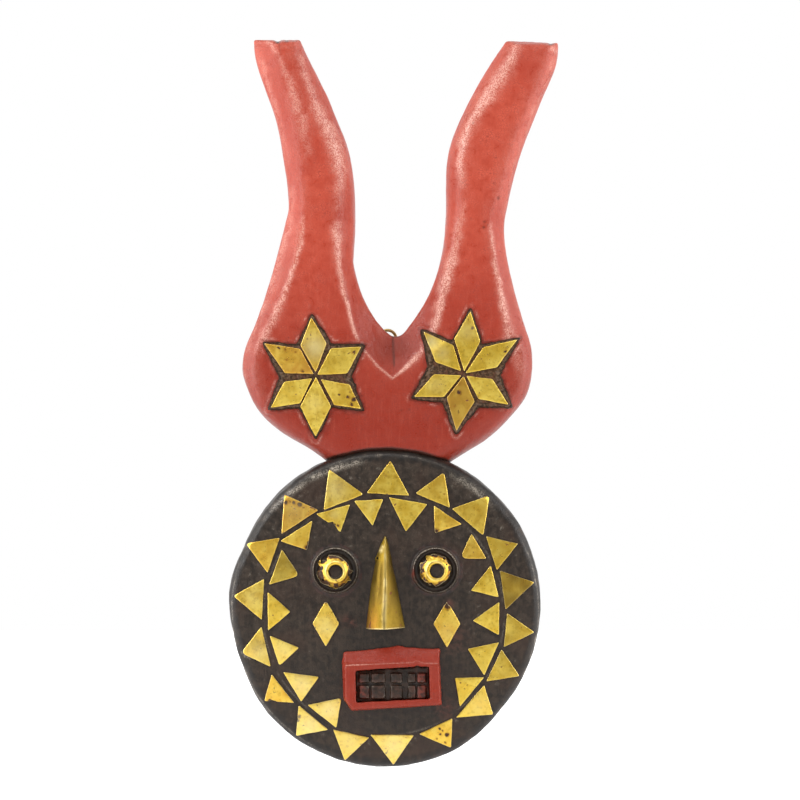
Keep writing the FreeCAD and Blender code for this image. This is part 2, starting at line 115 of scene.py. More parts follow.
def noise(points, size, seed):
    """Smooth noise from -1 to 1. size is the width of a lump, in the points' own units."""
    scaled = np.asarray(points, float) / size
    cell = np.floor(scaled).astype(np.int64)
    part = scaled - cell
    part = part * part * (3 - 2 * part)
    total = np.zeros(len(scaled))
    for corner in itertools.product((0, 1), repeat=3):
        weight = np.prod(np.where(corner, part, 1 - part), axis=1)
        total += weight * lattice(*(cell + corner).T, seed)
    return total


def layered(points, size, seed, layers=3):
    """Noise in layers, each half the size and half the strength of the last."""
    return sum(noise(points, np.array(size) / 2 ** n, seed + n) / 2 ** n for n in range(layers))


def gouges(u, v, seed):
    """Distance to the nearest of scattered points, one to each whole-numbered square: the
    hollows that a gouge leaves side by side."""
    nearest = np.full(len(u), 9.0)
    for du, dv in itertools.product((-1, 0, 1), repeat=2):
        i = np.floor(u).astype(np.int64) + du
        j = np.floor(v).astype(np.int64) + dv
        x = i + 0.5 + 0.38 * lattice(i, j, 0, seed)
        y = j + 0.5 + 0.38 * lattice(i, j, 1, seed)
        nearest = np.minimum(nearest, (x - u) ** 2 + (y - v) ** 2)
    return np.sqrt(nearest)


def ease(value, low, high):
    """0 below low, 1 above high, and smooth between."""
    t = np.clip((value - low) / (high - low), 0, 1)
    return t * t * (3 - 2 * t)


def off_segment(points, start, end):
    """Where each point, seen from the front, is nearest to a segment, from 0 at its start to 1
    at its end, and how far from it the point is."""
    reach, run = points[:, [0, 2]] - start, end - start
    along = np.clip(reach @ run / (run @ run), 0, 1)
    return along, np.linalg.norm(reach - along[:, None] * run, axis=1)


def off_line(points, corners):
    """Distance of each point, seen from the front, to a line through corners given as (x, z)."""
    corners = np.array(corners)
    return np.min([off_segment(points, *ends)[1] for ends in zip(corners, corners[1:])], axis=0)


def bell(value, width):
    """1 at zero, a third at width, and falling away to nothing past it."""
    return np.exp(-(value / width) ** 2)


def turns(around):
    """Angles spaced evenly round a circle."""
    return np.arange(around) * 2 * math.pi / around


def on_wall(x, z):
    """Points with these x and z on the plane y = 0."""
    return np.stack([x, np.zeros(len(x)), z], 1)


def off_groove(points):
    """Distance to the ring scribed between the plates, seen from the front."""
    return np.abs(np.hypot(points[:, 0] - GROOVE_X, points[:, 2] - GROOVE_Z) - GROOVE_R)


def rubbed(points, lines):
    """Strength from 0 to 1 along lines of (x, z, half width, strength), seen from the front."""
    most = np.zeros(len(points))
    for line in lines:
        for start, end in zip(np.array(line), np.array(line)[1:]):
            along, away = off_segment(points, start[:2], end[:2])
            width, strength = (start[2:] + along[:, None] * (end - start)[2:]).T
            most = np.maximum(most, strength * bell(away, width))
    return most


def marked(points, marks, origin=(0, 0)):
    """Marks given as (x, z, size, strength) from origin, seen from the front and added up."""
    total = np.zeros(len(points))
    for x, z, size, strength in marks:
        away = np.hypot(points[:, 0] - origin[0] - x, points[:, 2] - origin[1] - z)
        total += strength * bell(away, size)
    return np.clip(total, 0, 1)


# Meshes

def cad_points(node):
    return np.array([v.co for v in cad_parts[node].data.vertices]) / MM


def make_mesh(name, points, faces):
    mesh = bpy.data.meshes.new(name)
    mesh.from_pydata((np.asarray(points) * MM).tolist(), [], [list(f) for f in faces])
    mesh.validate()
    mesh.shade_smooth()
    return mesh


def placed(name, data):
    """A new object in the scene."""
    thing = bpy.data.objects.new(name, data)
    bpy.context.scene.collection.objects.link(thing)
    return thing


def make_piece(name, mesh, material, nodes):
    """An object of one mesh that stands for CAD nodes and rides on the mask."""
    piece = placed(name, mesh)
    mesh.materials.clear()
    mesh.materials.append(material)
    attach(piece, "mask")
    if nodes:
        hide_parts(*nodes)
    return piece


def thickened(piece, thickness):
    """Gives a surface the thickness of its sheet, on the side its normals point away from:
    here the front, since the caps' and the nose's point back."""
    sheet = piece.modifiers.new("sheet", "SOLIDIFY")
    sheet.thickness = thickness * MM
    sheet.offset = -1.0
    return piece


def paint(mesh, **marks):
    """Stores one number per point under each name, which the materials read."""
    for name, values in marks.items():
        attribute = mesh.attributes.get(name) or mesh.attributes.new(name, "FLOAT", "POINT")
        attribute.data.foreach_set("value", np.broadcast_to(values, len(mesh.vertices))
                                   .astype(np.float32))


def read_rows(things, key, width, kind=np.float32):
    """One property of every vertex or edge, in rows."""
    rows = np.empty(len(things) * width, kind)
    things.foreach_get(key, rows)
    return rows.reshape(-1, width)


def read_mesh(mesh):
    edges = read_rows(mesh.edges, "vertices", 2, np.int32)
    return read_rows(mesh.vertices, "co", 3).astype(float) / MM, edges


def read_normals(mesh):
    return read_rows(mesh.vertex_normals, "vector", 3).astype(float)


def write_mesh(mesh, points):
    mesh.vertices.foreach_set("co", (points * MM).astype(np.float32).ravel())
    mesh.update()


def relaxed(points, edges, rounds):
    """Points drawn towards their neighbours, which rounds ridges and fills creases."""
    a, b = edges.T
    count = len(points)
    degree = np.bincount(edges.ravel(), minlength=count)[:, None]
    for _ in range(rounds):
        pull = np.empty_like(points)
        for axis in range(3):
            pull[:, axis] = (np.bincount(a, points[b, axis], count)
                             + np.bincount(b, points[a, axis], count))
        points = (points + pull / degree) / 2
    return points


def remeshed(sources, voxel):
    """One even mesh over several solids. sources are (CAD node, shift along Y in mm)."""
    points, faces = [], []
    for node, shift in sources:
        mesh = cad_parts[node].data
        start = len(points)
        points.extend(v.co / MM + Vector((0, shift, 0)) for v in mesh.vertices)
        faces.extend([i + start for i in p.vertices] for p in mesh.polygons)
    solid = placed("solid", make_mesh("solid", [list(p) for p in points], faces))
    modifier = solid.modifiers.new("remesh", "REMESH")
    modifier.mode = "VOXEL"
    modifier.voxel_size = voxel * MM
    graph = bpy.context.evaluated_depsgraph_get()
    even = bpy.data.meshes.new_from_object(solid.evaluated_get(graph))
    bpy.data.objects.remove(solid)
    even.shade_smooth()
    return even


def standing_out(points, edges, normals, rounds):
    """How far each point stands out of its surroundings along its normal. More rounds look
    further round it."""
    return np.sum((points - relaxed(points, edges, rounds)) * normals, axis=1)


def softened(node, voxel, rounds):
    """A CAD solid remeshed with its edges rounded: the mesh, its points and its normals."""
    mesh = remeshed([(node, 0)], voxel)
    points = relaxed(*read_mesh(mesh), rounds)
    write_mesh(mesh, points)
    return mesh, points, read_normals(mesh)


def paint_wear(mesh, rounds, scale, added=0.0, share=1.0):
    """Wear where a point stands out along its normal and grime, with painted shade, where it lies
    back, both from 0 to 1. share scales the wear by place, and added is wear and painted highlight
    given directly. Remeshed wood has its normals outwards, so its ridges wear; the disc, the
    sockets and the beds of the stars have theirs inwards, so there the hollows do."""
    # Grime marks hollows with painted shade as well as dirt; added brings painted highlights as
    # well as wear.
    out = standing_out(*read_mesh(mesh), read_normals(mesh), rounds) / scale
    paint(mesh, wear=np.clip(share * ease(out, 0.15, 1.0) + added, 0, 1),
          grime=ease(-out, 0.15, 1.0))


def ring_faces(rings, around):
    """Quads between closed rings of points that follow each other."""
    made = []
    for k in range(rings - 1):
        for i in range(around):
            j = (i + 1) % around
            made.append((k * around + i, k * around + j,
                         (k + 1) * around + j, (k + 1) * around + i))
    return made


def cap_faces(ring, around, centre, flip=False):
    """Triangles from one ring of points to a centre point."""
    made = []
    for i in range(around):
        pair = (ring * around + i, ring * around + (i + 1) % around)
        made.append((pair[1], pair[0], centre) if flip else (pair[0], pair[1], centre))
    return made


def shell_faces(rings, around):
    """Faces over closed rings and the two points that follow them: one over the last ring and
    one under the first."""
    count = rings * around
    return (ring_faces(rings, around) + cap_faces(rings - 1, around, count)
            + cap_faces(0, around, count + 1, flip=True))


# Places on the wood

def disc_y(x, z):
    """Depth of the disc's front under a point."""
    r = np.hypot(x - DISC_X, z - DISC_Z)
    crown = CROWN_Y + CROWN_R - np.sqrt(CROWN_R ** 2 - np.minimum(r, TURN_R) ** 2)
    over = np.clip(r - EDGE_CENTRE_R, 0, EDGE_R * 0.98)
    edge = EDGE_CENTRE_Y - np.sqrt(EDGE_R ** 2 - over ** 2)
    return np.where(r < TURN_R, crown, edge)


def head_y(x, z):
    """Depth of the headpiece's front face."""
    return HEAD_FRONT_Y + HEAD_LEAN * z


def bed_y(x, z):
    return head_y(x, z) - BED_PROUD


# Materials

class Finish:
    """A material being made. Most methods add nodes and return their output. Sizes are in
    millimetres, measured in the mask's own frame."""

    def __init__(self, name):
        self.material = bpy.data.materials.new(name)
        self.material.use_nodes = True
        self.tree = self.material.node_tree
        self.shader = self.tree.nodes["Principled BSDF"]
        self.place = self.tree.nodes.new("ShaderNodeTexCoord").outputs["Object"]

    def add(self, kind, inputs, output, **settings):
        node = self.tree.nodes.new(kind)
        for name, value in settings.items():
            setattr(node, name, value)
        for key, value in inputs.items():
            if isinstance(value, bpy.types.NodeSocket):
                self.tree.links.new(value, node.inputs[key])
            else:
                node.inputs[key].default_value = value
        return node.outputs[output]

    def noise(self, size, detail=3.0, stretch=(1, 1, 1), turn=(0, 0, 0), warp=0.0):
        angles = [math.radians(a) for a in turn]
        place = self.add("ShaderNodeMapping",
                         {"Vector": self.place, "Scale": stretch, "Rotation": angles}, "Vector")
        return self.add("ShaderNodeTexNoise", {"Vector": place, "Scale": 1000.0 / size,
                                               "Detail": detail, "Distortion": warp}, "Fac")

    def cells(self, size, feature="F1", warp=0.5):
        shift = self.add("ShaderNodeTexNoise", {"Vector": self.place, "Scale": 1000.0 / size,
                                                "Detail": 2.0}, "Color")
        place = self.add("ShaderNodeVectorMath",
                         {0: shift, 1: [warp * size * MM] * 3, 2: self.place}, "Vector",
                         operation="MULTIPLY_ADD")
        return self.add("ShaderNodeTexVoronoi", {"Vector": place, "Scale": 1000.0 / size},
                        "Distance", feature=feature)

    def points(self, name):
        return self.add("ShaderNodeAttribute", {}, "Fac", attribute_name=name)

    def along(self, axis):
        """Place along an axis, in metres."""
        return self.add("ShaderNodeSeparateXYZ", {"Vector": self.place}, axis)

    def ease(self, value, low, high, to_low=0.0, to_high=1.0):
        return self.add("ShaderNodeMapRange",
                        {"Value": value, "From Min": low, "From Max": high,
                         "To Min": to_low, "To Max": to_high}, "Result",
                        interpolation_type="SMOOTHSTEP")

    def sum(self, a, b, operation="ADD"):
        return self.add("ShaderNodeMath", {0: a, 1: b}, "Value", operation=operation)

    def times(self, a, b):
        return self.sum(a, b, "MULTIPLY")

    def most(self, a, b):
        return self.sum(a, b, "MAXIMUM")

    def blend(self, factor, a, b):
        """Colour a where factor is 0 and b where it is 1."""
        node = self.tree.nodes.new("ShaderNodeMix")
        node.data_type = "RGBA"
        for socket, value in ((node.inputs["Factor"], factor), (node.inputs[6], a),
                              (node.inputs[7], b)):
            if isinstance(value, bpy.types.NodeSocket):
                self.tree.links.new(value, socket)
            elif isinstance(value, tuple):
                socket.default_value = (*value, 1.0)
            else:
                socket.default_value = value
        return node.outputs[2]

    def coat(self, factor, colour):
        """Lays a colour over those below, where factor is above 0."""
        self.colour = self.blend(factor, self.colour, colour)

    def bumps(self, *layers):
        """layers are (height, depth in mm), from coarse to fine."""
        normal = None
        for height, depth in layers:
            inputs = {"Height": height, "Distance": depth * MM, "Strength": 1.0}
            if normal is not None:
                inputs["Normal"] = normal
            normal = self.add("ShaderNodeBump", inputs, "Normal")
        return normal

    def finish(self, roughness, normal, metal=None, specular=0.5):
        for name, value in (("Base Color", self.colour), ("Roughness", roughness),
                            ("Normal", normal), ("Metallic", metal)):
            if value is not None:
                self.tree.links.new(value, self.shader.inputs[name])
        self.shader.inputs["Specular IOR Level"].default_value = specular
        return self.material


def bare_wood(f):
    """Colour and relief of unpainted softwood with the grain upright."""
    grain = f.noise(2.2, 5.0, stretch=(1, 1, 0.06), warp=0.6)
    rings = f.noise(9.0, 2.0, stretch=(1, 1, 0.1))
    stain = f.noise(30.0, 4.0)
    colour = f.blend(f.ease(grain, 0.35, 0.68), (0.20, 0.115, 0.06), (0.36, 0.235, 0.135))
    colour = f.blend(f.ease(rings, 0.35, 0.7, 0.0, 0.45), colour, (0.22, 0.12, 0.06))
    colour = f.blend(f.ease(stain, 0.42, 0.7, 0.0, 0.6), colour, (0.09, 0.055, 0.035))
    return colour, grain


def red_paint():
    f = Finish("red_paint")
    speckle = f.noise(0.8, 2.0)
    mottle = f.noise(7.0, 5.0, warp=0.4)
    broad = f.noise(45.0, 2.0)
    craze = f.cells(1.7, "DISTANCE_TO_EDGE", warp=0.9)
    brush = f.noise(1.6, 4.0, stretch=(1, 1, 0.12))
    spots = f.noise(2.6, 3.0, warp=0.5)
    wear = f.points("wear")
    ridge = f.points("ridge")
    grime = f.points("grime")

    f.colour = f.blend(f.ease(mottle, 0.3, 0.72), (0.43, 0.052, 0.026), (0.55, 0.086, 0.048))
    f.coat(f.ease(broad, 0.4, 0.7, 0.0, 0.5), (0.36, 0.034, 0.016))
    # Painted shade: the red darkens towards the bottom, where less light falls from above.
    f.coat(f.ease(f.along("Z"), -0.07, 0.08, 0.75, 0.0), (0.235, 0.018, 0.007))
    f.coat(f.ease(brush, 0.5, 0.8, 0.0, 0.16), (0.60, 0.13, 0.08))
    thin = f.times(f.ease(craze, 0.0, 0.10, 1.0, 0.0), f.ease(mottle, 0.46, 0.66, 0.05, 0.6))
    f.coat(thin, (0.20, 0.024, 0.017))
    # Painted highlight: pale pink along the ridges where the lacquer catches the lamps, broken
    # into specks, with some rubbed paint.
    dust = f.times(f.ease(speckle, 0.43, 0.58, 0.25, 1.0), f.ease(mottle, 0.32, 0.52, 0.5, 1.0))
    f.coat(f.times(f.times(ridge, dust), 0.9), (0.86, 0.48, 0.39))
    rubbed = f.times(f.ease(wear, 0.1, 0.9), f.ease(speckle, 0.40, 0.58, 0.2, 1.0))
    f.coat(f.times(rubbed, 0.55), (0.84, 0.48, 0.38))
    # Dark where grime and painted shade lie in the hollows, and in scattered stains.
    dirt = f.most(f.times(grime, 0.75), f.ease(spots, 0.73, 0.78, 0.0, 0.55))
    f.coat(dirt, (0.085, 0.020, 0.014))
    # Dark marks carried from the headpiece, with painted shade at the fork and along the seam to
    # the disc.
    f.coat(f.points("crack"), (0.030, 0.016, 0.011))

    back, grain = bare_wood(f)
    behind = f.sum(f.along("Y"), f.times(f.noise(12.0, 4.0), 0.0045))
    bare = f.ease(behind, -0.0062, -0.0052)     # metres from the wall, where the paint ends
    f.coat(bare, back)

    roughness = f.ease(mottle, 0.3, 0.75, 0.27, 0.40)
    roughness = f.sum(roughness, f.times(ridge, -0.05))
    roughness = f.most(roughness, f.times(bare, 0.75))
    normal = f.bumps((mottle, 0.12), (f.ease(craze, 0.0, 0.20), 0.05), (speckle, 0.085),
                     (grain, 0.05))
    return f.finish(roughness, normal, specular=0.32)


def stained_wood():
    f = Finish("stained_wood")
    grain = f.noise(1.6, 5.0, stretch=(1, 1, 0.09), warp=0.5)
    mottle = f.noise(4.0, 6.0, warp=0.4)
    broad = f.noise(34.0, 3.0)
    speckle = f.noise(0.9, 2.0)
    pits = f.cells(1.5, warp=1.0)
    scratch = f.noise(0.7, 1.0, stretch=(1, 1, 0.03), turn=(0, 52, 0))
    f.colour = f.blend(f.ease(mottle, 0.32, 0.70), (0.014, 0.0086, 0.0050),
                       (0.038, 0.0245, 0.0155))
    f.coat(f.ease(grain, 0.45, 0.75, 0.0, 0.35), (0.050, 0.034, 0.022))
    f.coat(f.ease(broad, 0.48, 0.72, 0.0, 0.5), (0.050, 0.024, 0.014))
    high = f.ease(f.along("Z"), -0.24, -0.11, 0.15, 1.0)
    dots = f.times(f.ease(speckle, 0.58, 0.70), f.ease(mottle, 0.45, 0.65))
    f.coat(f.times(f.times(dots, high), 0.5), (0.13, 0.098, 0.070))
    # Pale wear, with painted highlights along the disc's rounded edge and the collars' crests.
    worn = f.times(f.points("wear"), f.ease(speckle, 0.38, 0.60, 0.15, 1.0))
    f.coat(f.times(worn, 0.85), (0.56, 0.49, 0.40))
    # Near black where grime lies, with painted shade round the eye collars.
    f.coat(f.times(f.points("grime"), 0.8), (0.007, 0.005, 0.004))
    f.coat(f.ease(scratch, 0.77, 0.81, 0.0, 0.30), (0.14, 0.11, 0.08))
    rubbed = f.times(f.points("red"), f.ease(mottle, 0.42, 0.62, 0.2, 1.0))
    f.coat(rubbed, (0.20, 0.036, 0.022))
    back, raw_grain = bare_wood(f)
    inside = f.points("inside")
    f.coat(inside, back)
    roughness = f.ease(mottle, 0.3, 0.75, 0.34, 0.52)
    roughness = f.sum(roughness, f.times(f.points("wear"), -0.10))
    roughness = f.sum(roughness, f.times(inside, 0.28))
    normal = f.bumps((mottle, 0.22), (grain, 0.05), (f.ease(pits, 0.1, 0.5), 0.07),
                     (speckle, 0.07), (f.times(raw_grain, inside), 0.12))
    return f.finish(roughness, normal, specular=0.4)


def mastic():
    f = Finish("mastic")
    lumps = f.noise(1.5, 5.0, warp=0.4)
    mottle = f.noise(4.0, 3.0)
    grit = f.noise(0.5, 2.0)
    f.colour = f.blend(f.ease(lumps, 0.38, 0.64), (0.036, 0.017, 0.006), (0.118, 0.063, 0.030))
    f.coat(f.ease(mottle, 0.50, 0.72, 0.0, 0.55), (0.135, 0.043, 0.024))
    f.coat(f.times(f.points("wear"), 0.3), (0.27, 0.20, 0.155))
    # Darker where grime and painted shade lie.
    f.coat(f.times(f.points("grime"), 0.7), (0.012, 0.007, 0.005))
    roughness = f.ease(lumps, 0.3, 0.7, 0.50, 0.72)
    normal = f.bumps((lumps, 0.45), (grit, 0.10))
    return f.finish(roughness, normal, specular=0.2)


# Brass in three tones: base, pale and dull
PLATE_TONES = (0.92, 0.605, 0.068), (0.99, 0.74, 0.135), (0.56, 0.335, 0.032)
HANGER_TONES = (0.50, 0.32, 0.11), (0.62, 0.43, 0.18), (0.30, 0.18, 0.06)
# The nose's brass is a darker copy of the plates': painted dark reflection.
NOSE_TONES = (0.24, 0.152, 0.014), (0.34, 0.225, 0.024), (0.135, 0.083, 0.007)


def brass(name, tones, rough=0.0):
    """Sheet brass, with the tarnish and burns painted on its points, and painted highlights and
    dark reflections with them. rough adds to the roughness."""
    base, pale, dull = tones
    f = Finish(name)
    cloud = f.noise(9.0, 5.0, warp=0.5)
    mottle = f.noise(2.6, 4.0)
    brush = f.noise(0.9, 3.0, stretch=(1, 1, 0.06), turn=(0, 35, 0))
    cross = f.noise(0.8, 2.0, stretch=(0.05, 1, 1), turn=(0, -20, 0))
    spot = f.noise(3.4, 3.0, warp=0.3)
    fleck = f.noise(0.9, 1.0)
    edge = f.points("edge")
    orange = f.points("orange")
    spoiled = f.points("spots")
    dark = f.points("dark")

    f.colour = f.blend(f.ease(cloud, 0.32, 0.70), base, pale)
    f.coat(f.ease(mottle, 0.47, 0.76, 0.0, 0.55), dull)
    f.coat(f.times(orange, f.ease(cloud, 0.25, 0.65, 1.0, 0.55)), (0.78, 0.36, 0.060))
    # Painted dark reflection: duller, darker brass where it is marked dark.
    f.coat(f.times(dark, 0.8), (0.24, 0.155, 0.030))
    level = f.sum(spot, f.times(spoiled, 0.17))
    tarnish = f.ease(level, 0.66, 0.76)
    f.coat(tarnish, (0.20, 0.070, 0.022))
    flecks = f.ease(f.sum(fleck, f.times(spoiled, 0.08)), 0.74, 0.80)
    f.coat(flecks, (0.13, 0.055, 0.022))
    burnt = f.ease(f.sum(f.points("burnt"), f.ease(mottle, 0.3, 0.7, 0.22, -0.22)), 0.22, 0.62)
    f.coat(f.ease(f.points("burnt"), 0.04, 0.4, 0.0, 0.6), (0.50, 0.19, 0.035))
    f.coat(burnt, (0.060, 0.026, 0.012))
    # Painted highlight on cut edges, lips and ridges.
    f.coat(f.times(edge, 0.55), (1.0, 0.86, 0.46))

    roughness = f.ease(cloud, 0.3, 0.72, 0.27 + rough, 0.40 + rough)
    roughness = f.sum(roughness, f.ease(brush, 0.45, 0.75, 0.0, 0.10))
    roughness = f.sum(roughness, f.times(tarnish, 0.25))
    metal = f.ease(f.most(f.most(tarnish, flecks), burnt), 0.2, 1.0, 1.0, 0.35)
    normal = f.bumps((cloud, 0.16), (mottle, 0.05), (brush, 0.016), (cross, 0.010),
                     (f.most(tarnish, flecks), 0.02))
    return f.finish(roughness, normal, metal)


def nail_steel():
    f = Finish("nail_steel")
    mottle = f.noise(1.2, 4.0)
    rust = f.noise(2.0, 4.0)
    f.colour = f.blend(f.ease(mottle, 0.3, 0.7), (0.20, 0.19, 0.18), (0.42, 0.40, 0.38))
    rusted = f.ease(rust, 0.52, 0.66)
    f.coat(rusted, (0.14, 0.055, 0.025))
    roughness = f.ease(rust, 0.4, 0.7, 0.38, 0.75)
    metal = f.ease(rusted, 0.0, 1.0, 1.0, 0.1)
    return f.finish(roughness, f.bumps((mottle, 0.08), (rust, 0.06)), metal)


# The face disc

def arc_points(centre, radius, start, end, count):
    angles = np.radians(np.linspace(start, end, count))
    return np.stack([centre[0] + radius * np.cos(angles),
                     centre[1] + radius * np.sin(angles)], 1)


def disc_profile():
    """The disc's section from the middle of its front, round its edge and rim, to the middle
    of the hollow, as (radius, y)."""
    radii = np.linspace(0.8, TURN_R - 0.6, CROWN_STEPS)
    crown = np.stack([radii, CROWN_Y + CROWN_R - np.sqrt(CROWN_R ** 2 - radii ** 2)], 1)
    edge = arc_points((EDGE_CENTRE_R, EDGE_CENTRE_Y), EDGE_R,
                      math.degrees(TURN_ANGLE) - 90, 0, EDGE_STEPS)
    side_y = np.linspace(EDGE_CENTRE_Y + 1.5, -1.2, SIDE_STEPS)
    bow = (side_y - EDGE_CENTRE_Y) / -EDGE_CENTRE_Y
    side = np.stack([DISC_R - 0.6 + 1.9 * bow - 3.0 * bow ** 2, side_y], 1)
    rim = np.linspace((DISC_R - 2.2, 0), (RIM_R + 0.8, 0), RIM_STEPS)
    wall = np.linspace((RIM_R - 0.3, -0.6), (WALL_R, WALL_Y), WALL_STEPS)
    share = np.sin(np.linspace(0, math.pi / 2, WALL_STEPS))
    bend = np.stack([WALL_R + (FLOOR_R - WALL_R) * share ** 1.6,
                     WALL_Y + (FLOOR_Y - WALL_Y) * share], 1)[1:]
    floor = np.linspace((FLOOR_R - 2, FLOOR_Y), (1.0, FLOOR_Y), FLOOR_STEPS)
    return np.concatenate([crown, edge, side, rim, wall, bend, floor])


DISC_TRIM = [(-180, 0.3), (-140, 0.3), (-128, -0.4), (-112, -2.4), (-98, -2.0), (-86, 0.3),
             (-78, 0.2), (-66, -1.5), (-52, -0.7), (-38, 0.8), (-26, 2.3), (26, 2.9), (40, 1.9),
             (58, 1.7), (70, 0.2), (82, -0.4), (100, -1.8), (116, -2.4), (130, -2.9),
             (142, -1.5), (152, -0.1), (180, 0.3)]      # (bearing from the top, extra radius)
# Scratches on the left edge, as (x, z)
SCRATCHES = [[(-94.5, -149.0), (-99.5, -150.0), (-106.0, -150.6)],
             [(-102.5, -224.0), (-100.0, -227.0), (-96.5, -228.5)]]
# Painted highlight bands along the rounded edge, where it catches the lamps above: (from bearing,
# to bearing, radius, width, strength)
POLISH = [(-56, -4, 105.6, 1.7, 1.0), (22, 50, 105.4, 1.9, 0.85), (-160, -70, 107.2, 0.5, 0.7),
          (60, 125, 107.0, 0.5, 0.6), (-40, 30, 108.6, 0.5, 0.4)]
# Old red, brown and worn marks on the face: (x, z, size, strength)
STAINS = [(-27.5, -202.0, 3.5, 0.25), (-24.0, -205.0, 2.2, 0.25), (40.0, -263.5, 6.0, 0.35),
          (45.0, -214.0, 9.0, 0.2), (-44.0, -205.0, 8.0, 0.15), (43.0, -190.5, 3.0, 0.3)]


def face_disc(material):
    around = 460
    profile = disc_profile()
    r, y = np.repeat(profile, around, axis=0).T
    bearing = np.tile(turns(around), len(profile))
    degrees = (np.degrees(bearing) + 180) % 360 - 180

    # The circle was trimmed by hand. It is fullest under the horns, where only the front of
    # the edge is left outside them, and its side stands out at the upper left.
    outer = ease(r, TURN_R - 6, DISC_R - 1)
    trim = np.interp(degrees, *np.array(DISC_TRIM).T)
    full = bell(degrees + 46, 18) * ease(y, EDGE_CENTRE_Y - 4, -14)
    r = r + outer * (np.where(trim > 0, trim * ease(-y, 6, 16), trim) + 1.3 * full)
    x = DISC_X + r * np.sin(bearing)
    z = DISC_Z + r * np.cos(bearing)
    points = np.stack([x, y, z], 1)

    front = ease(-y, 30, 39)
    inside = np.repeat(ease(np.arange(len(profile)), HOLLOW_STARTS, HOLLOW_STARTS + 4), around)
    rough = 0.22 * layered(points, 26, 3, 2) + 0.07 * noise(points, 3.2, 5)
    groove = bell(off_groove(points), 0.45)
    edge_dents = 0.35 * noise(points, 7, 9) * ease(r, 98, 106) * (1 - inside)
    bruised = bell(degrees + 7, 9) * bell(r - 105.5, 2.6) * front
    edge_dents += 0.55 * noise(points, 2.4, 10) * bruised
    scoops = gouges(r / 15.0, bearing * 6.3, 4)
    carved = inside * (1.5 * scoops ** 2 - 0.4)
    points[:, 1] += -front * rough + front * 0.14 * groove + carved
    out = on_wall(np.sin(bearing), np.cos(bearing))
    points += out * (edge_dents + (1 - front) * (1 - inside) * 0.4 * rough)[:, None]
    points[:, 2] = np.maximum(points[:, 2], cad_box[0][2] / MM)

    count = len(points)
    middles = np.array([[DISC_X, CROWN_Y, DISC_Z], [DISC_X, FLOOR_Y, DISC_Z]])
    faces = [f[::-1] for f in ring_faces(len(profile), around)]
    faces += cap_faces(0, around, count)
    faces += cap_faces(len(profile) - 1, around, count + 1, flip=True)
    every = np.concatenate([points, middles])
    mesh = make_mesh("face_disc_wood", every, faces)
    # A pale band is painted along the rounded edge, mostly at the top: painted highlight where it
    # catches the lamps.
    band = np.zeros(count)
    for low, high, radius, width, strength in POLISH:
        along = ease(degrees, low, low + 12) * ease(-degrees, -high, 12 - high)
        stray = min(0.7, width) * noise(points, 9, 11)
        band += strength * along * bell(r - radius - stray, width) * ease(-y, 12, 20)
    band = np.concatenate([band * (1 + 0.5 * noise(points, 5, 12)), [0, 0]])
    for line in SCRATCHES:
        band += bell(off_line(every, line), 0.42) * (every[:, 1] < -8)
    share = (0.1 + 0.9 * ease(off_groove(every), 2, 5)) * ease(-every[:, 1], 26, 38)
    paint_wear(mesh, 6, 0.10, band, share=0.12 + 0.88 * share)
    paint(mesh, inside=np.concatenate([inside, [0, 1]]),
          red=marked(every, STAINS) * (every[:, 1] < -30))
    return make_piece("face_disc_wood", mesh, material, ["face_disc"])


# The eye socket's section, as (radius, height above the disc)
EYE_PROFILE = [(0.0, 5.0), (1.5, 5.05), (3.0, 5.0), (4.3, 4.85), (5.0, 4.6), (6.5, 4.9),
               (8.0, 4.9), (9.2, 4.2), (10.2, 3.1), (11.2, 1.8), (12.0, 0.5), (12.6, -0.25),
               (13.3, -0.5), (14.0, -0.3), (14.45, 0.6), (14.75, 1.9), (15.05, 2.75),
               (15.4, 3.05), (15.7, 2.7), (16.0, 1.9), (16.4, 1.0), (17.0, 0.5),
               (18.0, 0.22), (18.8, 0.02), (19.6, -0.25), (20.4, -0.7), (21.2, -1.3)]


def eye_centre(side):
    low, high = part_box(f"eye_cap_{side}")
    middle = (low + high) / 2 / MM
    return middle.x, middle.z


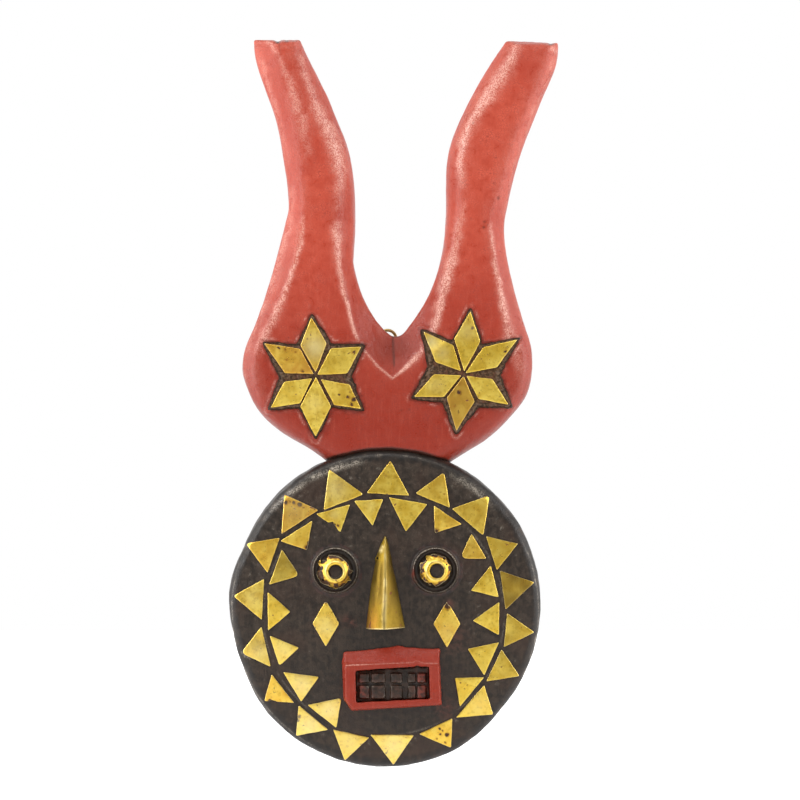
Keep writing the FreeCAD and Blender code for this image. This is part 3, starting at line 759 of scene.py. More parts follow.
def eye_socket(side, material):
    """The carved socket: a boss inside a thin raised collar."""
    cx, cz = eye_centre(side)
    around = 220
    radii = np.array([p[0] for p in EYE_PROFILE])
    fine = np.concatenate([np.linspace(a, b, 3, endpoint=False)
                           for a, b in zip(radii[1:-1], radii[2:])])
    heights = np.interp(fine, radii, [p[1] for p in EYE_PROFILE])
    angle = turns(around)
    r = np.repeat(fine, around)
    h = np.repeat(heights, around)
    a = np.tile(angle, len(fine))
    flat = on_wall(cx + r * np.sin(a), cz + r * np.cos(a))
    r = r * (1 + 0.012 * noise(flat, 9, 21))
    x = cx + r * np.sin(a)
    z = cz + r * np.cos(a)
    h = h + 0.12 * noise(flat, 2.2, 22) * ease(r, 2, 6) + 0.35 * noise(flat, 11, 23) * (
        bell(r - 15.4, 1.2))
    points = np.stack([x, disc_y(x, z) - h, z], 1)
    middle = [[cx, float(disc_y(cx, cz)) - 5.05, cz]]
    faces = [f[::-1] for f in ring_faces(len(fine), around)]
    faces += cap_faces(0, around, len(points))
    every = np.concatenate([points, middle])
    mesh = make_mesh(f"eye_socket_{side}", every, faces)
    # The collar's crest gets a painted highlight, brightest at the top. Old red shows on the left
    # of the right eye's collar. Painted shade darkens the trough inside the collar and the foot
    # outside it.
    turn = np.degrees(np.arctan2(every[:, 0] - cx, every[:, 2] - cz)) % 360
    out = np.hypot(every[:, 0] - cx, every[:, 2] - cz)
    upper = 0.35 + 0.65 * ease(np.cos(np.radians(turn - 350)), -0.2, 0.5)
    paint_wear(mesh, 5, 0.09, 0.9 * upper * bell(out - 15.45, 0.42), share=0.3)
    red_crest = bell(out - 15.4, 1.3) * bell(turn - 262, 17) * (side == "right")
    paint(mesh, grime=0.75 * bell(out - 18.0, 1.8) + 0.8 * bell(out - 13.3, 1.2), inside=0.0,
          red=0.13 * bell(out - 18.6, 2.4) + red_crest)
    return make_piece(f"eye_socket_{side}", mesh, material, [])


# Each cap's torn outline as (bearing, reach), clockwise from the top
TORN = {
    "left": [(-22, 11.6), (-34, 10.0), (-41, 8.9), (-48, 11.0), (-57, 13.0), (-67, 13.4),
             (-74, 10.6), (-79, 8.7), (-86, 9.2), (-94, 12.6), (-109, 13.0), (-133, 13.0),
             (-142, 12.2), (-154, 11.4), (177, 12.8), (155, 12.0), (138, 11.4), (128, 11.2),
             (122, 13.2), (116, 10.6), (101, 10.1), (92, 12.7), (84, 9.8), (60, 9.8),
             (39, 9.5), (23, 10.0), (7, 10.2), (-8, 10.6)],
    "right": [(-6, 11.4), (10, 10.8), (28, 10.7), (37, 11.2), (48, 9.7), (62, 9.5), (73, 10.8),
              (90, 10.3), (113, 9.5), (139, 9.5), (152, 9.2), (168, 10.6), (180, 10.9),
              (190, 9.4), (204, 10.8), (213, 9.7), (225, 10.6), (243, 10.9), (270, 10.4),
              (296, 11.5), (304, 10.0), (311, 9.6), (320, 10.8), (329, 12.0), (342, 11.2)],
}
# Holes through the caps and burns on them, as (bearing, distance, size)
HOLES = {
    "left": [(303, 10.7, 1.5), (231, 10.7, 0.9), (108, 9.9, 0.8)],
    "right": [(37, 10.1, 0.8), (62, 8.6, 0.65), (195, 9.7, 0.9), (318, 10.2, 0.8),
              (350, 10.4, 0.5)],
}
BURNS = {
    "left": [(2, 9.6, 1.8), (30, 9.2, 1.6), (96, 10.6, 1.6), (150, 11.6, 1.8), (262, 11.0, 1.2),
             (282, 9.2, 1.0), (222, 11.6, 1.3), (340, 9.4, 1.1)],
    "right": [(0, 10.2, 1.6), (20, 10.4, 1.0), (160, 9.6, 1.6), (200, 10.0, 1.2),
              (312, 10.4, 1.4), (268, 8.4, 1.3), (75, 10.4, 0.9)],
}


def eye_cap(side, seed, pupil_shift, material):
    """A brass cap on the boss, pierced for the pupil, burnt and torn round its edge."""
    cx, cz = eye_centre(side)
    around, rings = 280, 34
    angle = turns(around)
    circle = on_wall(np.sin(angle), np.cos(angle))
    torn = np.array(sorted((bearing % 360, reach) for bearing, reach in TORN[side]))
    reach = np.interp(np.degrees(angle), torn[:, 0], torn[:, 1], period=360)
    reach += 0.22 * noise(circle * 6, 1, seed) + 0.22 * noise(circle * 22, 1, seed + 1)
    pupil = 5.2 + 0.14 * noise(circle * 3, 1, seed + 2)
    # Height above the wood: a rolled lip round the pupil, then a slope down the boss
    profile_r = [5.0, 5.3, 5.8, 6.5, 7.2, 8.0, 9.0, 10.0, 11.0, 12.0, 13.6]
    profile_h = [5.2, 6.3, 6.95, 7.1, 6.75, 6.0, 5.2, 4.4, 3.3, 2.0, 0.5]
    points = []
    for s in np.linspace(0, 1, rings) ** 1.1:
        r = pupil + (reach - pupil) * s
        h = np.interp(r, profile_r, profile_h)
        off = 1 - ease(r, 6.0, 12.5)
        x = cx + r * np.sin(angle) + pupil_shift[0] * off
        z = cz + r * np.cos(angle) + pupil_shift[1] * off
        flat = on_wall(x, z)
        beaten = 0.34 * noise(flat, 2.3, seed + 3) + 0.20 * noise(flat, 1.0, seed + 4)
        h = h + beaten * ease(r, 6.6, 9.0) + 0.45 * ease(s, 0.86, 1.0) * noise(flat, 3.0, seed + 6)
        points.append(np.stack([x, disc_y(x, z) - h, z], 1))
    points = np.concatenate(points)
    faces = np.array([f[::-1] for f in ring_faces(rings, around)])

    def apart(places, bearing, distance):
        a = math.radians(bearing)
        return np.hypot(places[:, 0] - cx - distance * math.sin(a),
                        places[:, 2] - cz - distance * math.cos(a))

    middles = points[faces].mean(axis=1)
    ragged = 1 + 0.35 * noise(middles, 0.9, seed + 5)
    kept = np.ones(len(faces), bool)
    for bearing, distance, size in HOLES[side]:
        kept &= apart(middles, bearing, distance) > size * ragged
    mesh = make_mesh(f"eye_cap_{side}_brass", points, faces[kept])
    r = np.hypot(points[:, 0] - cx, points[:, 2] - cz)
    burnt = 0.75 * ease(r, 7.6, 9.8) * ease(noise(points, 2.4, seed + 7), -0.3, 0.3)
    for bearing, distance, size in BURNS[side]:
        burnt = burnt + bell(apart(points, bearing, distance), size)
    last = np.zeros(len(points))
    last[-2 * around:] = 1
    # Painted highlight on the lip round the pupil and the torn rim; the outer slope is painted
    # darker, a painted dark reflection.
    paint(mesh, edge=0.7 * np.maximum(last, bell(r - 6.3, 0.6)),
          orange=0.6 * ease(r, 7.6, 9.5), spots=0.5 * ease(r, 8.5, 11.5),
          dark=ease(r, 7.4, 9.0) * (0.45 + 0.35 * noise(points, 3.0, seed + 8)),
          burnt=np.clip(burnt, 0, 1))
    piece = make_piece(f"eye_cap_{side}_brass", mesh, material, [f"eye_cap_{side}"])
    return thickened(piece, 0.35)


# Brass plates

def corners_of(node, count):
    """The corners of a plate as seen from the front, in order round its outline."""
    flat = [(p[0], p[2]) for p in cad_points(node)]
    outline = [flat[i] for i in geometry.convex_hull_2d(flat)]
    while len(outline) > count:
        def lost(i):
            a, b, c = (np.array(outline[j % len(outline)]) for j in (i - 1, i, i + 1))
            return abs((b[0] - a[0]) * (c[1] - a[1]) - (b[1] - a[1]) * (c[0] - a[0]))
        outline.pop(min(range(len(outline)), key=lost))
    return np.array(outline)


def unit(v):
    return v / np.linalg.norm(v)


def inscribed(corners):
    """Centre and radius of the circle that touches a triangle's or kite's sides."""
    def bisector(i):
        here, before, after = corners[i], corners[i - 1], corners[(i + 1) % len(corners)]
        return here, unit(unit(before - here) + unit(after - here))
    (p, u), (q, v) = bisector(0), bisector(1)
    along = np.linalg.solve(np.stack([u, -v], 1), q - p)[0]
    centre = p + u * along
    side = unit(corners[1] - corners[0])
    to_centre = centre - corners[0]
    return centre, abs(side[0] * to_centre[1] - side[1] * to_centre[0])


def cut_outline(corners, rounding, seed):
    """A closed outline with each corner rounded by its own amount and sides cut by hand."""
    outline = []
    count = len(corners)
    for i in range(count):
        here, before, after = corners[i], corners[i - 1], corners[(i + 1) % count]
        limit = 0.42 * min(np.linalg.norm(before - here), np.linalg.norm(after - here))
        cut = min(rounding[i], limit)
        start, end = here + unit(before - here) * cut, here + unit(after - here) * cut
        for t in np.linspace(0, 1, 7):
            outline.append((1 - t) ** 2 * start + 2 * t * (1 - t) * here + t * t * end)
        next_cut = min(rounding[(i + 1) % count], 0.42 * np.linalg.norm(after - here))
        stop = after + unit(here - after) * next_cut
        steps = max(int(np.linalg.norm(stop - end) / 0.7), 2)
        outline.extend(end + (stop - end) * t for t in np.linspace(0, 1, steps + 1)[1:-1])
    outline = np.array(outline)
    middle = outline.mean(0)
    away = outline - middle
    away /= np.linalg.norm(away, axis=1)[:, None]
    place = on_wall(*outline.T)
    wobble = 0.16 * noise(place, 7.0, seed) + 0.07 * noise(place, 1.3, seed + 1)
    return outline + away * wobble[:, None]


def plate(name, node, corner_count, ground, material, seed, worn=None, orange=0.0, spots=0.0,
          dark=0.0, dents=1.0, bend=0.0, marks=(), bites=(), shine=()):
    """One cut sheet of brass on the ground, with rounded cut edges and a slight pillow. worn
    gives extra rounding by side: left, right, top or bottom. bend lifts the upper left tip.
    marks are burnt spots and bites are ragged losses of the edge, both as (x, z, size,
    strength or depth) from the plate's middle, and so are the pale marks, which are painted
    reflections. Its dark tone is a painted dark reflection, and its cut edges get a painted
    highlight."""
    corners = corners_of(node, corner_count)
    centre, inner = inscribed(corners)
    rounding = [0.9 + 0.5 * abs(lattice(i, seed, 0, 31)) for i in range(corner_count)]
    for side, amount in (worn or {}).items():
        axis, sign = {"left": (0, -1), "right": (0, 1), "bottom": (1, -1), "top": (1, 1)}[side]
        rounding[int(np.argmax(corners[:, axis] * sign))] = amount
    outline = cut_outline(corners, rounding, seed)
    around = len(outline)
    for x, z, size, depth in bites:
        away = np.hypot(*(outline - centre - (x, z)).T)
        jagged = 1 + 0.9 * noise(on_wall(*outline.T), 0.9, seed + 9)
        inward = (centre - outline) / np.linalg.norm(outline - centre, axis=1)[:, None]
        outline = outline + inward * (depth * jagged * bell(away, size))[:, None]
    near = [0.0, 0.0, 0.10, 0.26, 0.5, 0.85, 1.3]
    far = list(np.linspace(1.9, inner * 0.93, 7)) if inner > 2.2 else []
    height = [-0.3, PLATE_EDGE, 0.80, 0.94, 1.01, PLATE_FACE, 1.07]
    height += [1.07 + 0.10 * (d / inner) for d in far]
    tilt = 0.04 * lattice(seed, 1, 0, 32), 0.04 * lattice(seed, 2, 0, 32)
    points, edge_share = [], []
    for d, h in zip(near + far, height):
        ring = centre + (outline - centre) * (1 - d / inner)
        x, z = ring[:, 0], ring[:, 1]
        flat = on_wall(x, z)
        uneven = 0.08 * noise(flat, 6.0, seed + 2) + 0.03 * noise(flat, 2.2, seed + 3)
        lean = tilt[0] * (x - centre[0]) + tilt[1] * (z - centre[1])
        lean += bend * ease(centre[0] - x + z - centre[1], 4, 16)
        lift = h + (dents * uneven + lean) * (h > 0)
        points.append(np.stack([x, ground(x, z) - lift, z], 1))
        edge_share.append(np.full(around, 1.0 if 0 < d < 0.2 or h == PLATE_EDGE else 0.0))
    top = [centre[0], float(ground(*centre)) - 1.18, centre[1]]
    under = [centre[0], float(ground(*centre)) + 0.3, centre[1]]
    faces = shell_faces(len(points), around)
    points = np.concatenate(points + [[top, under]])
    # Every plate is wound alike, whichever way its outline runs.
    turning = sum(outline[i - 1, 0] * outline[i, 1] - outline[i, 0] * outline[i - 1, 1]
                  for i in range(around))
    if turning > 0:
        faces = [f[::-1] for f in faces]
    mesh = make_mesh(name, points, faces)
    # Painted highlight on the cut edge, and painted reflection where the plate is pale.
    bright = np.concatenate(edge_share + [[0.0, 0.0]]) + marked(points, shine, centre)
    shade = 1 + 0.5 * noise(points, 9.0, seed + 5)
    paint(mesh, edge=bright, orange=orange * shade, spots=spots, dark=dark * shade,
          burnt=marked(points, marks, centre))
    return make_piece(name, mesh, material, [node])


# How single plates and rays differ from the rest, from the middle of each: wear and burns, and
# painted reflections in their pale and dark marks
PLATE_WEAR = {
    "outer_plate_01": dict(dark=0.15),
    "outer_plate_02": dict(orange=0.2, dark=0.15, worn={"top": 2.6, "left": 2.0},
                           marks=[(5.5, -2.3, 0.6, 0.8), (2.8, -1.0, 0.5, 0.7)]),
    "outer_plate_03": dict(orange=0.15, worn={"bottom": 2.2}, dark=0.2),
    "outer_plate_04": dict(orange=0.1, dark=0.35),
    "outer_plate_05": dict(orange=0.3, dark=0.8),
    "outer_plate_06": dict(dark=0.6),
    "outer_plate_07": dict(dark=0.45),
    "outer_plate_08": dict(dark=0.2, shine=[(0.0, 0.0, 9.0, 0.3)]),
    "outer_plate_09": dict(orange=0.3, marks=[
        (3.6, -0.8, 1.4, 1), (2.4, -6.4, 0.8, 0.8), (-1.2, -0.4, 0.9, 0.9),
        (-3.6, -3.6, 0.7, 0.8), (-1.6, 3.4, 0.9, 0.6), (0.4, 2.0, 0.7, 0.6)]),
    "outer_plate_10": dict(shine=[(0.0, 0.0, 11.0, 0.8)],
                           marks=[(-4.8, -1.6, 0.5, 0.9), (-4.8, -5.0, 0.5, 0.9)]),
    "outer_plate_11": dict(shine=[(0.0, 0.0, 11.0, 0.6)]),
    "outer_plate_12": dict(shine=[(2.0, -1.0, 10.0, 0.9)], bites=[(-7.5, 3.8, 1.8, 0.7)],
                           marks=[(-5.3, 5.4, 1.3, 1), (-5.8, 2.6, 0.9, 0.8)]),
    "outer_plate_13": dict(orange=0.45, marks=[(-4.0, -5.6, 1.5, 0.9), (-0.5, -5.9, 0.8, 0.6)],
                           bites=[(-3.0, -6.4, 3.0, 1.0)]),
    "outer_plate_14": dict(shine=[(2.0, -1.0, 9.0, 0.6)], worn={"left": 4.5}, dents=2.0,
                           marks=[(-8.6, 1.0, 1.2, 0.5)]),
    "outer_plate_15": dict(shine=[(0.0, 0.0, 9.0, 0.3)], worn={"left": 2.6}),
    "outer_plate_16": dict(orange=0.3, worn={"left": 3.0}),
    "outer_plate_17": dict(orange=1.0, spots=0.3, shine=[(0.0, 0.0, 8.0, 0.3)], marks=[
        (-6.0, 6.6, 1.3, 1), (-0.4, 6.2, 1.2, 0.9), (3.4, 4.9, 1.5, 1), (-3.4, 7.2, 0.8, 0.7),
        (6.4, 3.0, 0.9, 0.6)]),
    "outer_plate_18": dict(shine=[(-2.0, 2.0, 9.0, 0.6)], worn={"right": 2.6}),
    "inner_plate_02": dict(orange=0.3, dents=3.2, marks=[(-4.4, -6.4, 2.0, 0.6)]),
    "inner_plate_03": dict(orange=0.35, dark=0.2, worn={"left": 6.0}, dents=2.0),
    "inner_plate_04": dict(dark=0.15),
    "inner_plate_06": dict(dark=0.2),
    "inner_plate_07": dict(dark=0.15, worn={"top": 1.6}, marks=[
        (-3.4, 2.6, 0.7, 0.6), (1.4, 1.0, 0.6, 0.6), (-0.4, -1.4, 0.6, 0.6)]),
    "inner_plate_08": dict(shine=[(0.0, 0.0, 9.0, 0.9)], worn={"top": 2.6},
                           marks=[(5.8, 5.8, 1.6, 0.3)]),
    "inner_plate_09": dict(shine=[(0.0, 0.0, 9.0, 0.8)]),
    "inner_plate_10": dict(shine=[(0.0, 0.0, 8.0, 0.5)], worn={"bottom": 2.4}),
    "inner_plate_12": dict(dark=0.7, worn={"right": 4.2}, dents=2.0),
    "inner_plate_13": dict(orange=0.3, marks=[(5.0, -6.4, 2.2, 0.9), (6.6, -2.6, 1.5, 0.7)]),
    "inner_plate_14": dict(marks=[(-1.2, -5.2, 1.0, 1), (1.4, -5.6, 0.9, 1)],
                           bites=[(-3.0, -6.2, 3.4, 2.0), (0.2, -7.4, 1.3, 1.6)],
                           shine=[(-1.0, 2.0, 4.0, 0.4)]),
    "inner_plate_15": dict(shine=[(0.0, 2.0, 4.0, 0.25)]),
    "cheek_diamond_left": dict(shine=[(0.0, -3.0, 9.0, 0.5)], worn={"top": 2.4},
                               marks=[(0.0, 14.6, 1.0, 0.8)]),
    "cheek_diamond_right": dict(orange=0.3, shine=[(1.0, -6.0, 6.0, 0.25)], worn={"top": 1.6},
                                bites=[(0.0, 15.0, 2.2, 1.2)],
                                marks=[(0.4, 13.2, 2.6, 0.8), (0.2, 10.4, 1.0, 0.5)]),
    "star_left_ray_1": dict(orange=0.3, shine=[(1.0, -2.0, 8.0, 1.0)],
                            marks=[(-4.2, 4.0, 0.8, 0.6), (-2.0, 7.0, 0.8, 0.5)]),
    "star_left_ray_2": dict(marks=[(10.4, 6.0, 1.1, 1), (7.0, 5.4, 0.7, 0.7)], dark=0.15),
    "star_left_ray_3": dict(marks=[(8.4, -3.4, 1.5, 1), (7.0, -7.0, 1.1, 1),
                                   (-1.6, 0.0, 0.8, 0.7), (4.6, -1.8, 1.2, 0.8)], orange=0.15),
    "star_left_ray_4": dict(shine=[(-1.0, 2.0, 6.0, 0.3)],
                            marks=[(5.6, -5.0, 0.6, 0.9), (1.0, -8.0, 0.5, 0.6)]),
    "star_left_ray_5": dict(spots=0.15),
    "star_left_ray_6": dict(orange=0.7, marks=[
        (-9.4, 8.8, 1.0, 0.8), (-4.6, 7.6, 0.9, 0.8), (-3.6, 0.5, 0.9, 0.6),
        (2.6, 6.0, 0.8, 0.7), (7.4, -7.4, 1.4, 0.6)]),
    "star_right_ray_1": dict(shine=[(0.0, 6.0, 6.0, 0.4)],
                             marks=[(3.6, 8.8, 0.9, 1), (0.8, 14.4, 0.6, 0.9)]),
    "star_right_ray_2": dict(marks=[(10.6, 4.2, 0.9, 1), (12.0, 6.8, 0.7, 0.9)]),
    "star_right_ray_4": dict(orange=0.7, dark=0.35, marks=[
        (-0.8, 5.6, 1.5, 1), (-4.0, -4.0, 1.0, 0.5), (-1.4, -8.0, 0.8, 0.6)]),
    "star_right_ray_5": dict(shine=[(-2.0, 0.0, 6.0, 0.3)]),
    "star_right_ray_6": dict(dents=2.0, bend=1.6, shine=[
        (-9.0, 8.0, 4.5, 1.0), (-1.0, 0.0, 5.0, 0.5)]),
}


def brass_plates(material):
    """Two rings of triangles, the cheeks' diamonds and the rays of the stars."""
    nodes = [(f"outer_plate_{n:02d}", 3, disc_y) for n in range(1, 19)]
    nodes += [(f"inner_plate_{n:02d}", 3, disc_y) for n in range(1, 16)]
    nodes += [(f"cheek_diamond_{side}", 4, disc_y) for side in ("left", "right")]
    nodes += [(f"star_{side}_ray_{n}", 4, bed_y) for side in ("left", "right")
              for n in range(1, 7)]
    for seed, (node, corners, ground) in enumerate(nodes):
        plate(f"{node}_brass", node, corners, ground, material, 100 + 11 * seed,
              **PLATE_WEAR.get(node, {}))


def star_outline(side):
    """The corners of a star's bed in order, as (x, z)."""
    points = cad_points(f"star_bed_{side}")
    proud = points[:, 1] - head_y(points[:, 0], points[:, 2])
    flat = np.unique(np.round(points[proud < 0][:, [0, 2]], 2), axis=0)
    centre = flat.mean(0)
    turn = np.arctan2(flat[:, 0] - centre[0], flat[:, 1] - centre[1])
    return flat[np.argsort(turn)]


def star_bed(side, seed, material):
    """Rough mastic under a star, laid a little past its pocket and pinched up round it."""
    flat = star_outline(side)
    centre = flat.mean(0)
    around = 480
    angle = turns(around)
    ray = np.stack([np.sin(angle), np.cos(angle)], 1)
    reach = np.zeros(around)
    for i in range(len(flat)):
        a, b = flat[i - 1] - centre, flat[i] - centre
        side_line = b - a
        cross = ray[:, 0] * side_line[1] - ray[:, 1] * side_line[0]
        along = (a[0] * side_line[1] - a[1] * side_line[0]) / np.where(cross == 0, 1, cross)
        where = (a[0] * ray[:, 1] - a[1] * ray[:, 0]) / np.where(cross == 0, 1, cross)
        hit = (where >= -1e-9) & (where <= 1 + 1e-9) & (along > 0)
        reach = np.where(hit, along, reach)
    for _ in range(6):      # rounds the tips and valleys
        reach = (np.roll(reach, 1) + 2 * reach + np.roll(reach, -1)) / 4
    rim = on_wall(*(ray.T * reach))
    reach = reach + 0.6 + 0.9 * noise(rim, 6.0, seed) + 0.5 * noise(rim, 1.7, seed + 1)
    steps = [-0.6, -0.3, 0.0, 0.25, 0.55, 0.9, 1.4, 2.0]
    heights = [-1.2, -0.25, 0.45, 1.15, 1.7, 1.95, 1.85, 1.6]
    steps += list(np.linspace(2.8, 22.0, 22))
    heights += [1.5] * 22
    rings = []
    for d, h in zip(steps, heights):
        r = np.maximum(reach - d * (1.0 if d < 2.5 else reach / 24.0), 0.6 + 0.01 * d)
        x, z = centre[0] + ray[:, 0] * r, centre[1] + ray[:, 1] * r
        spot = on_wall(x, z)
        rough = 0.42 * noise(spot, 2.4, seed + 2) + 0.24 * noise(spot, 1.0, seed + 3)
        lift = h + rough * ease(d, -0.3, 0.4) * (0.4 if d > 4 else 1.0)
        rings.append(np.stack([x, head_y(x, z) - lift, z], 1))
    middle = [[centre[0], float(head_y(*centre)) - 1.5, centre[1]],
              [centre[0], float(head_y(*centre)) + 1.0, centre[1]]]
    mesh = make_mesh(f"star_bed_{side}_mastic", np.concatenate(rings + [middle]),
                     shell_faces(len(rings), around))
    paint_wear(mesh, 5, 0.12)
    return make_piece(f"star_bed_{side}_mastic", mesh, material,
                      [f"star_bed_{side}"])


# Nose

NOSE_HEIGHTS = [51.6, 46.5, 40.5, 35.6, 33.5, 30.0, 18.0, 4.0, -12.4]     # above the middle
NOSE_LEFT = [0.05, 2.5, 4.9, 6.9, 6.5, 7.2, 9.5, 11.1, 13.0]              # half widths
NOSE_RIGHT = [0.05, 1.6, 3.0, 4.1, 4.4, 4.9, 7.7, 10.3, 13.5]
NOSE_STAND = [0.7, 3.0, 5.4, 7.2, 7.8, 8.7, 11.2, 13.6, 15.6]            # ridge above the wood


def nose(material):
    """Sheet brass bent to a half cone along a ridge, open below."""
    across, along = 60, 130
    u = np.linspace(-1, 1, across + 1)
    levels = np.linspace(NOSE_HEIGHTS[0], NOSE_HEIGHTS[-1], along)
    order = NOSE_HEIGHTS[::-1]
    points = []
    for z in levels:
        left, right, stand = (np.interp(z, order, widths[::-1])
                              for widths in (NOSE_LEFT, NOSE_RIGHT, NOSE_STAND))
        x = np.where(u < 0, u * left, u * right) - 0.8 * ease(-z, -18, 12) * (1 - u ** 2)
        side = np.sqrt(u ** 2 + 0.004) - 0.06      # the ridge is slightly rounded
        lift = stand * (1 - 0.62 * side - 0.38 * side ** 3)
        low = z - 0.45 * (1 - u ** 2) * ease(-z, 0, 12) + 0.35 * u * ease(-z, 0, 12)
        px, pz = DISC_X + x, DISC_Z + low
        flat = on_wall(px, pz)
        dent = 0.45 * noise(flat, (5.0, 5.0, 11.0), 61) + 0.16 * noise(flat, 3.0, 62)
        # A fold runs down the left cheek from the kink, and the lip flares.
        fold = -0.7 * bell(u + 0.42, 0.16) * ease(z, 2, 14) * ease(-z, -36, -26)
        flare = 0.5 * ease(-z, 10.6, 12.4)
        lift = lift + (dent + fold + flare) * (1 - side ** 4) * ease(stand, 1, 6)
        points.append(np.stack([px, disc_y(px, pz) - lift + 0.35 * side ** 12, pz], 1))
    points = np.concatenate(points)
    width = across + 1
    faces = [(k * width + i, k * width + i + 1, (k + 1) * width + i + 1, (k + 1) * width + i)
             for k in range(along - 1) for i in range(across)]

    def pierced(face):
        middle = points[list(face)].mean(0)
        return math.hypot(middle[0] - DISC_X + 5.3, middle[2] - DISC_Z - 36.4) < 0.8

    faces = [f for f in faces if not pierced(f)]
    mesh = make_mesh("nose_brass", points, faces)
    u_all = np.tile(u, along)
    z_all = np.repeat(levels, width)
    # Painted highlights along the ridge, on the flared lip and in a glint near the top; the right
    # and upper cheeks are painted darker, a painted dark reflection.
    lip = ease(-z_all, 11.7, 12.1)
    high = ease(z_all, 0, 12) * ease(-z_all, -38, -30)
    flash = marked(points, [(-3.0, 42.0, 1.5, 0.9), (-1.6, 44.5, 1.0, 0.6)],
                   (DISC_X, DISC_Z)) * ease(-u_all, 0.0, 0.15)
    ridge = bell(u_all, 0.11) * (0.25 + 0.40 * ease(noise(points, 5.0, 63), -0.3, 0.4))
    dark = 0.25 + 0.45 * ease(u_all, 0.08, 0.25) + 0.75 * high * (1 - bell(u_all, 0.07))
    paint(mesh, edge=np.maximum(ridge, lip) + flash,
          orange=0.7 * ease(-z_all, -14, 8) * ease(-u_all, 0.15, 0.7),
          spots=0.15 + 0.4 * ease(-u_all, 0.5, 0.9) * ease(-z_all, -6, 8),
          dark=np.clip(dark, 0, 1))
    piece = make_piece("nose_brass", mesh, material, ["nose"])
    return thickened(piece, 0.45)


# Red wood

# Lines on the headpiece as (x, z): the sharp V under the fork, and short crests in line with
# the tips of the stars
FORK_LINE = [(-16.7, -12.8), (-7.1, -24.1), (3.4, -32.9), (13.3, -24.8), (18.9, -19.2),
             (24.5, -13.6)]
LEFT_RIDGE = [(-31.5, 28.0), (-27.4, 15.0), (-21.4, -4.5)]
TIP_CRESTS = [[(-54.9, 20.5), (-54.6, 13.5)], [(59.2, 21.0), (58.6, 16.0)],
              [(14.5, -43.0), (8.0, -44.5)]]
CRACK_X = -77.0        # where the left horn's end is split
# Painted highlight along the ridges where the lacquer catches the lamps, with rubbed paint in it:
# lines of (x, z, half width, strength)
BLOOM = [
    [(-62, 195, 2.0, 0.4), (-54.6, 172, 3.2, 0.6), (-47.6, 155, 3.8, 0.7), (-40.5, 139, 4.2, 1),
     (-35, 124, 4.4, 1), (-32.8, 110, 3.6, 0.8), (-34, 97, 3, 0.35), (-36, 86, 2.5, 0.2)],
    [(-35.5, 73, 3.4, 0.9), (-34, 49, 2.0, 0.9), (-30.7, 28, 1.5, 0.9), (-25, 8, 1.3, 0.9),
     (-21, -7, 0.9, 0.6)],
    [(-84, 204, 1.4, 0.6), (-75, 192, 1.8, 0.35), (-68.0, 171, 3.0, 0.5), (-61, 152, 5.0, 0.55),
     (-56, 125, 2.6, 0.25)],
    [(-58.5, 80, 1.2, 0.4), (-61, 62, 1.5, 0.8), (-67, 39, 1.9, 0.9), (-74, 19.5, 2.6, 0.8),
     (-83, 2.6, 3.4, 0.65), (-91, -12, 3.0, 0.3)],
    [(89, 198, 3.5, 0.7), (83, 183, 4.2, 0.9), (70, 166, 4.6, 0.95), (60, 150, 4.4, 1),
     (53.5, 135, 3.2, 0.95), (51, 119, 2.6, 0.85), (51.5, 104, 3, 0.25)],
    [(53.2, 90, 1.8, 0.25), (51.6, 77, 2.3, 0.45), (47.8, 59, 3.0, 0.7), (42, 39, 4.0, 0.95),
     (36.5, 21, 3.2, 1), (33.5, 4, 2.3, 0.9), (32, -4, 2.0, 0.5)],
    [(71.5, 75, 1.2, 0.4), (73.8, 56, 1.6, 0.75), (78.2, 32, 1.9, 0.9), (82.6, 11, 2.6, 0.95),
     (86, -5, 3.6, 0.6), (93, -26, 3.0, 0.2)],
    [(112, 199, 2.0, 0.2), (117, 197, 1.6, 0.8)],
    [(-88, 190, 2.2, 0.25), (-78, 150, 2.6, 0.3), (-72, 120, 2.6, 0.2)],
    [(-66, 100, 2.6, 0.2), (-70, 70, 3.6, 0.35), (-80, 40, 4.6, 0.42), (-92, 12, 5.0, 0.4),
     (-100, -10, 4.0, 0.25)],
    [(118, 190, 2.2, 0.3), (106, 160, 3.0, 0.38), (96, 130, 3.0, 0.38), (88, 105, 2.6, 0.3),
     (84, 85, 2.6, 0.25), (86, 60, 3.2, 0.35), (92, 30, 4.2, 0.4), (100, 5, 4.6, 0.35)],
    [(6, -30, 0.9, 0.4), (12, -25.5, 1.5, 0.8), (20, -18.5, 1.9, 0.85), (26, -10, 1.3, 0.5)],
    [(-101, -30, 2.0, 0.2), (-98, -55, 2.2, 0.35), (-88, -74, 2.0, 0.2)],
]
# Nicks down to the dark priming, as (x, z, size, strength)
NICKS = [(77.8, 93.4, 1.0, 1.0), (68.0, 76.8, 0.9, 1.0), (67.5, 73.0, 1.0, 1.0),
         (70.2, 74.6, 0.6, 0.8), (9.5, -55.0, 0.7, 0.6), (15.3, -54.6, 0.7, 0.6),
         (60.0, 146, 0.6, 0.7), (61.0, 138.5, 0.6, 0.6), (58.4, 78.9, 0.5, 0.5)]


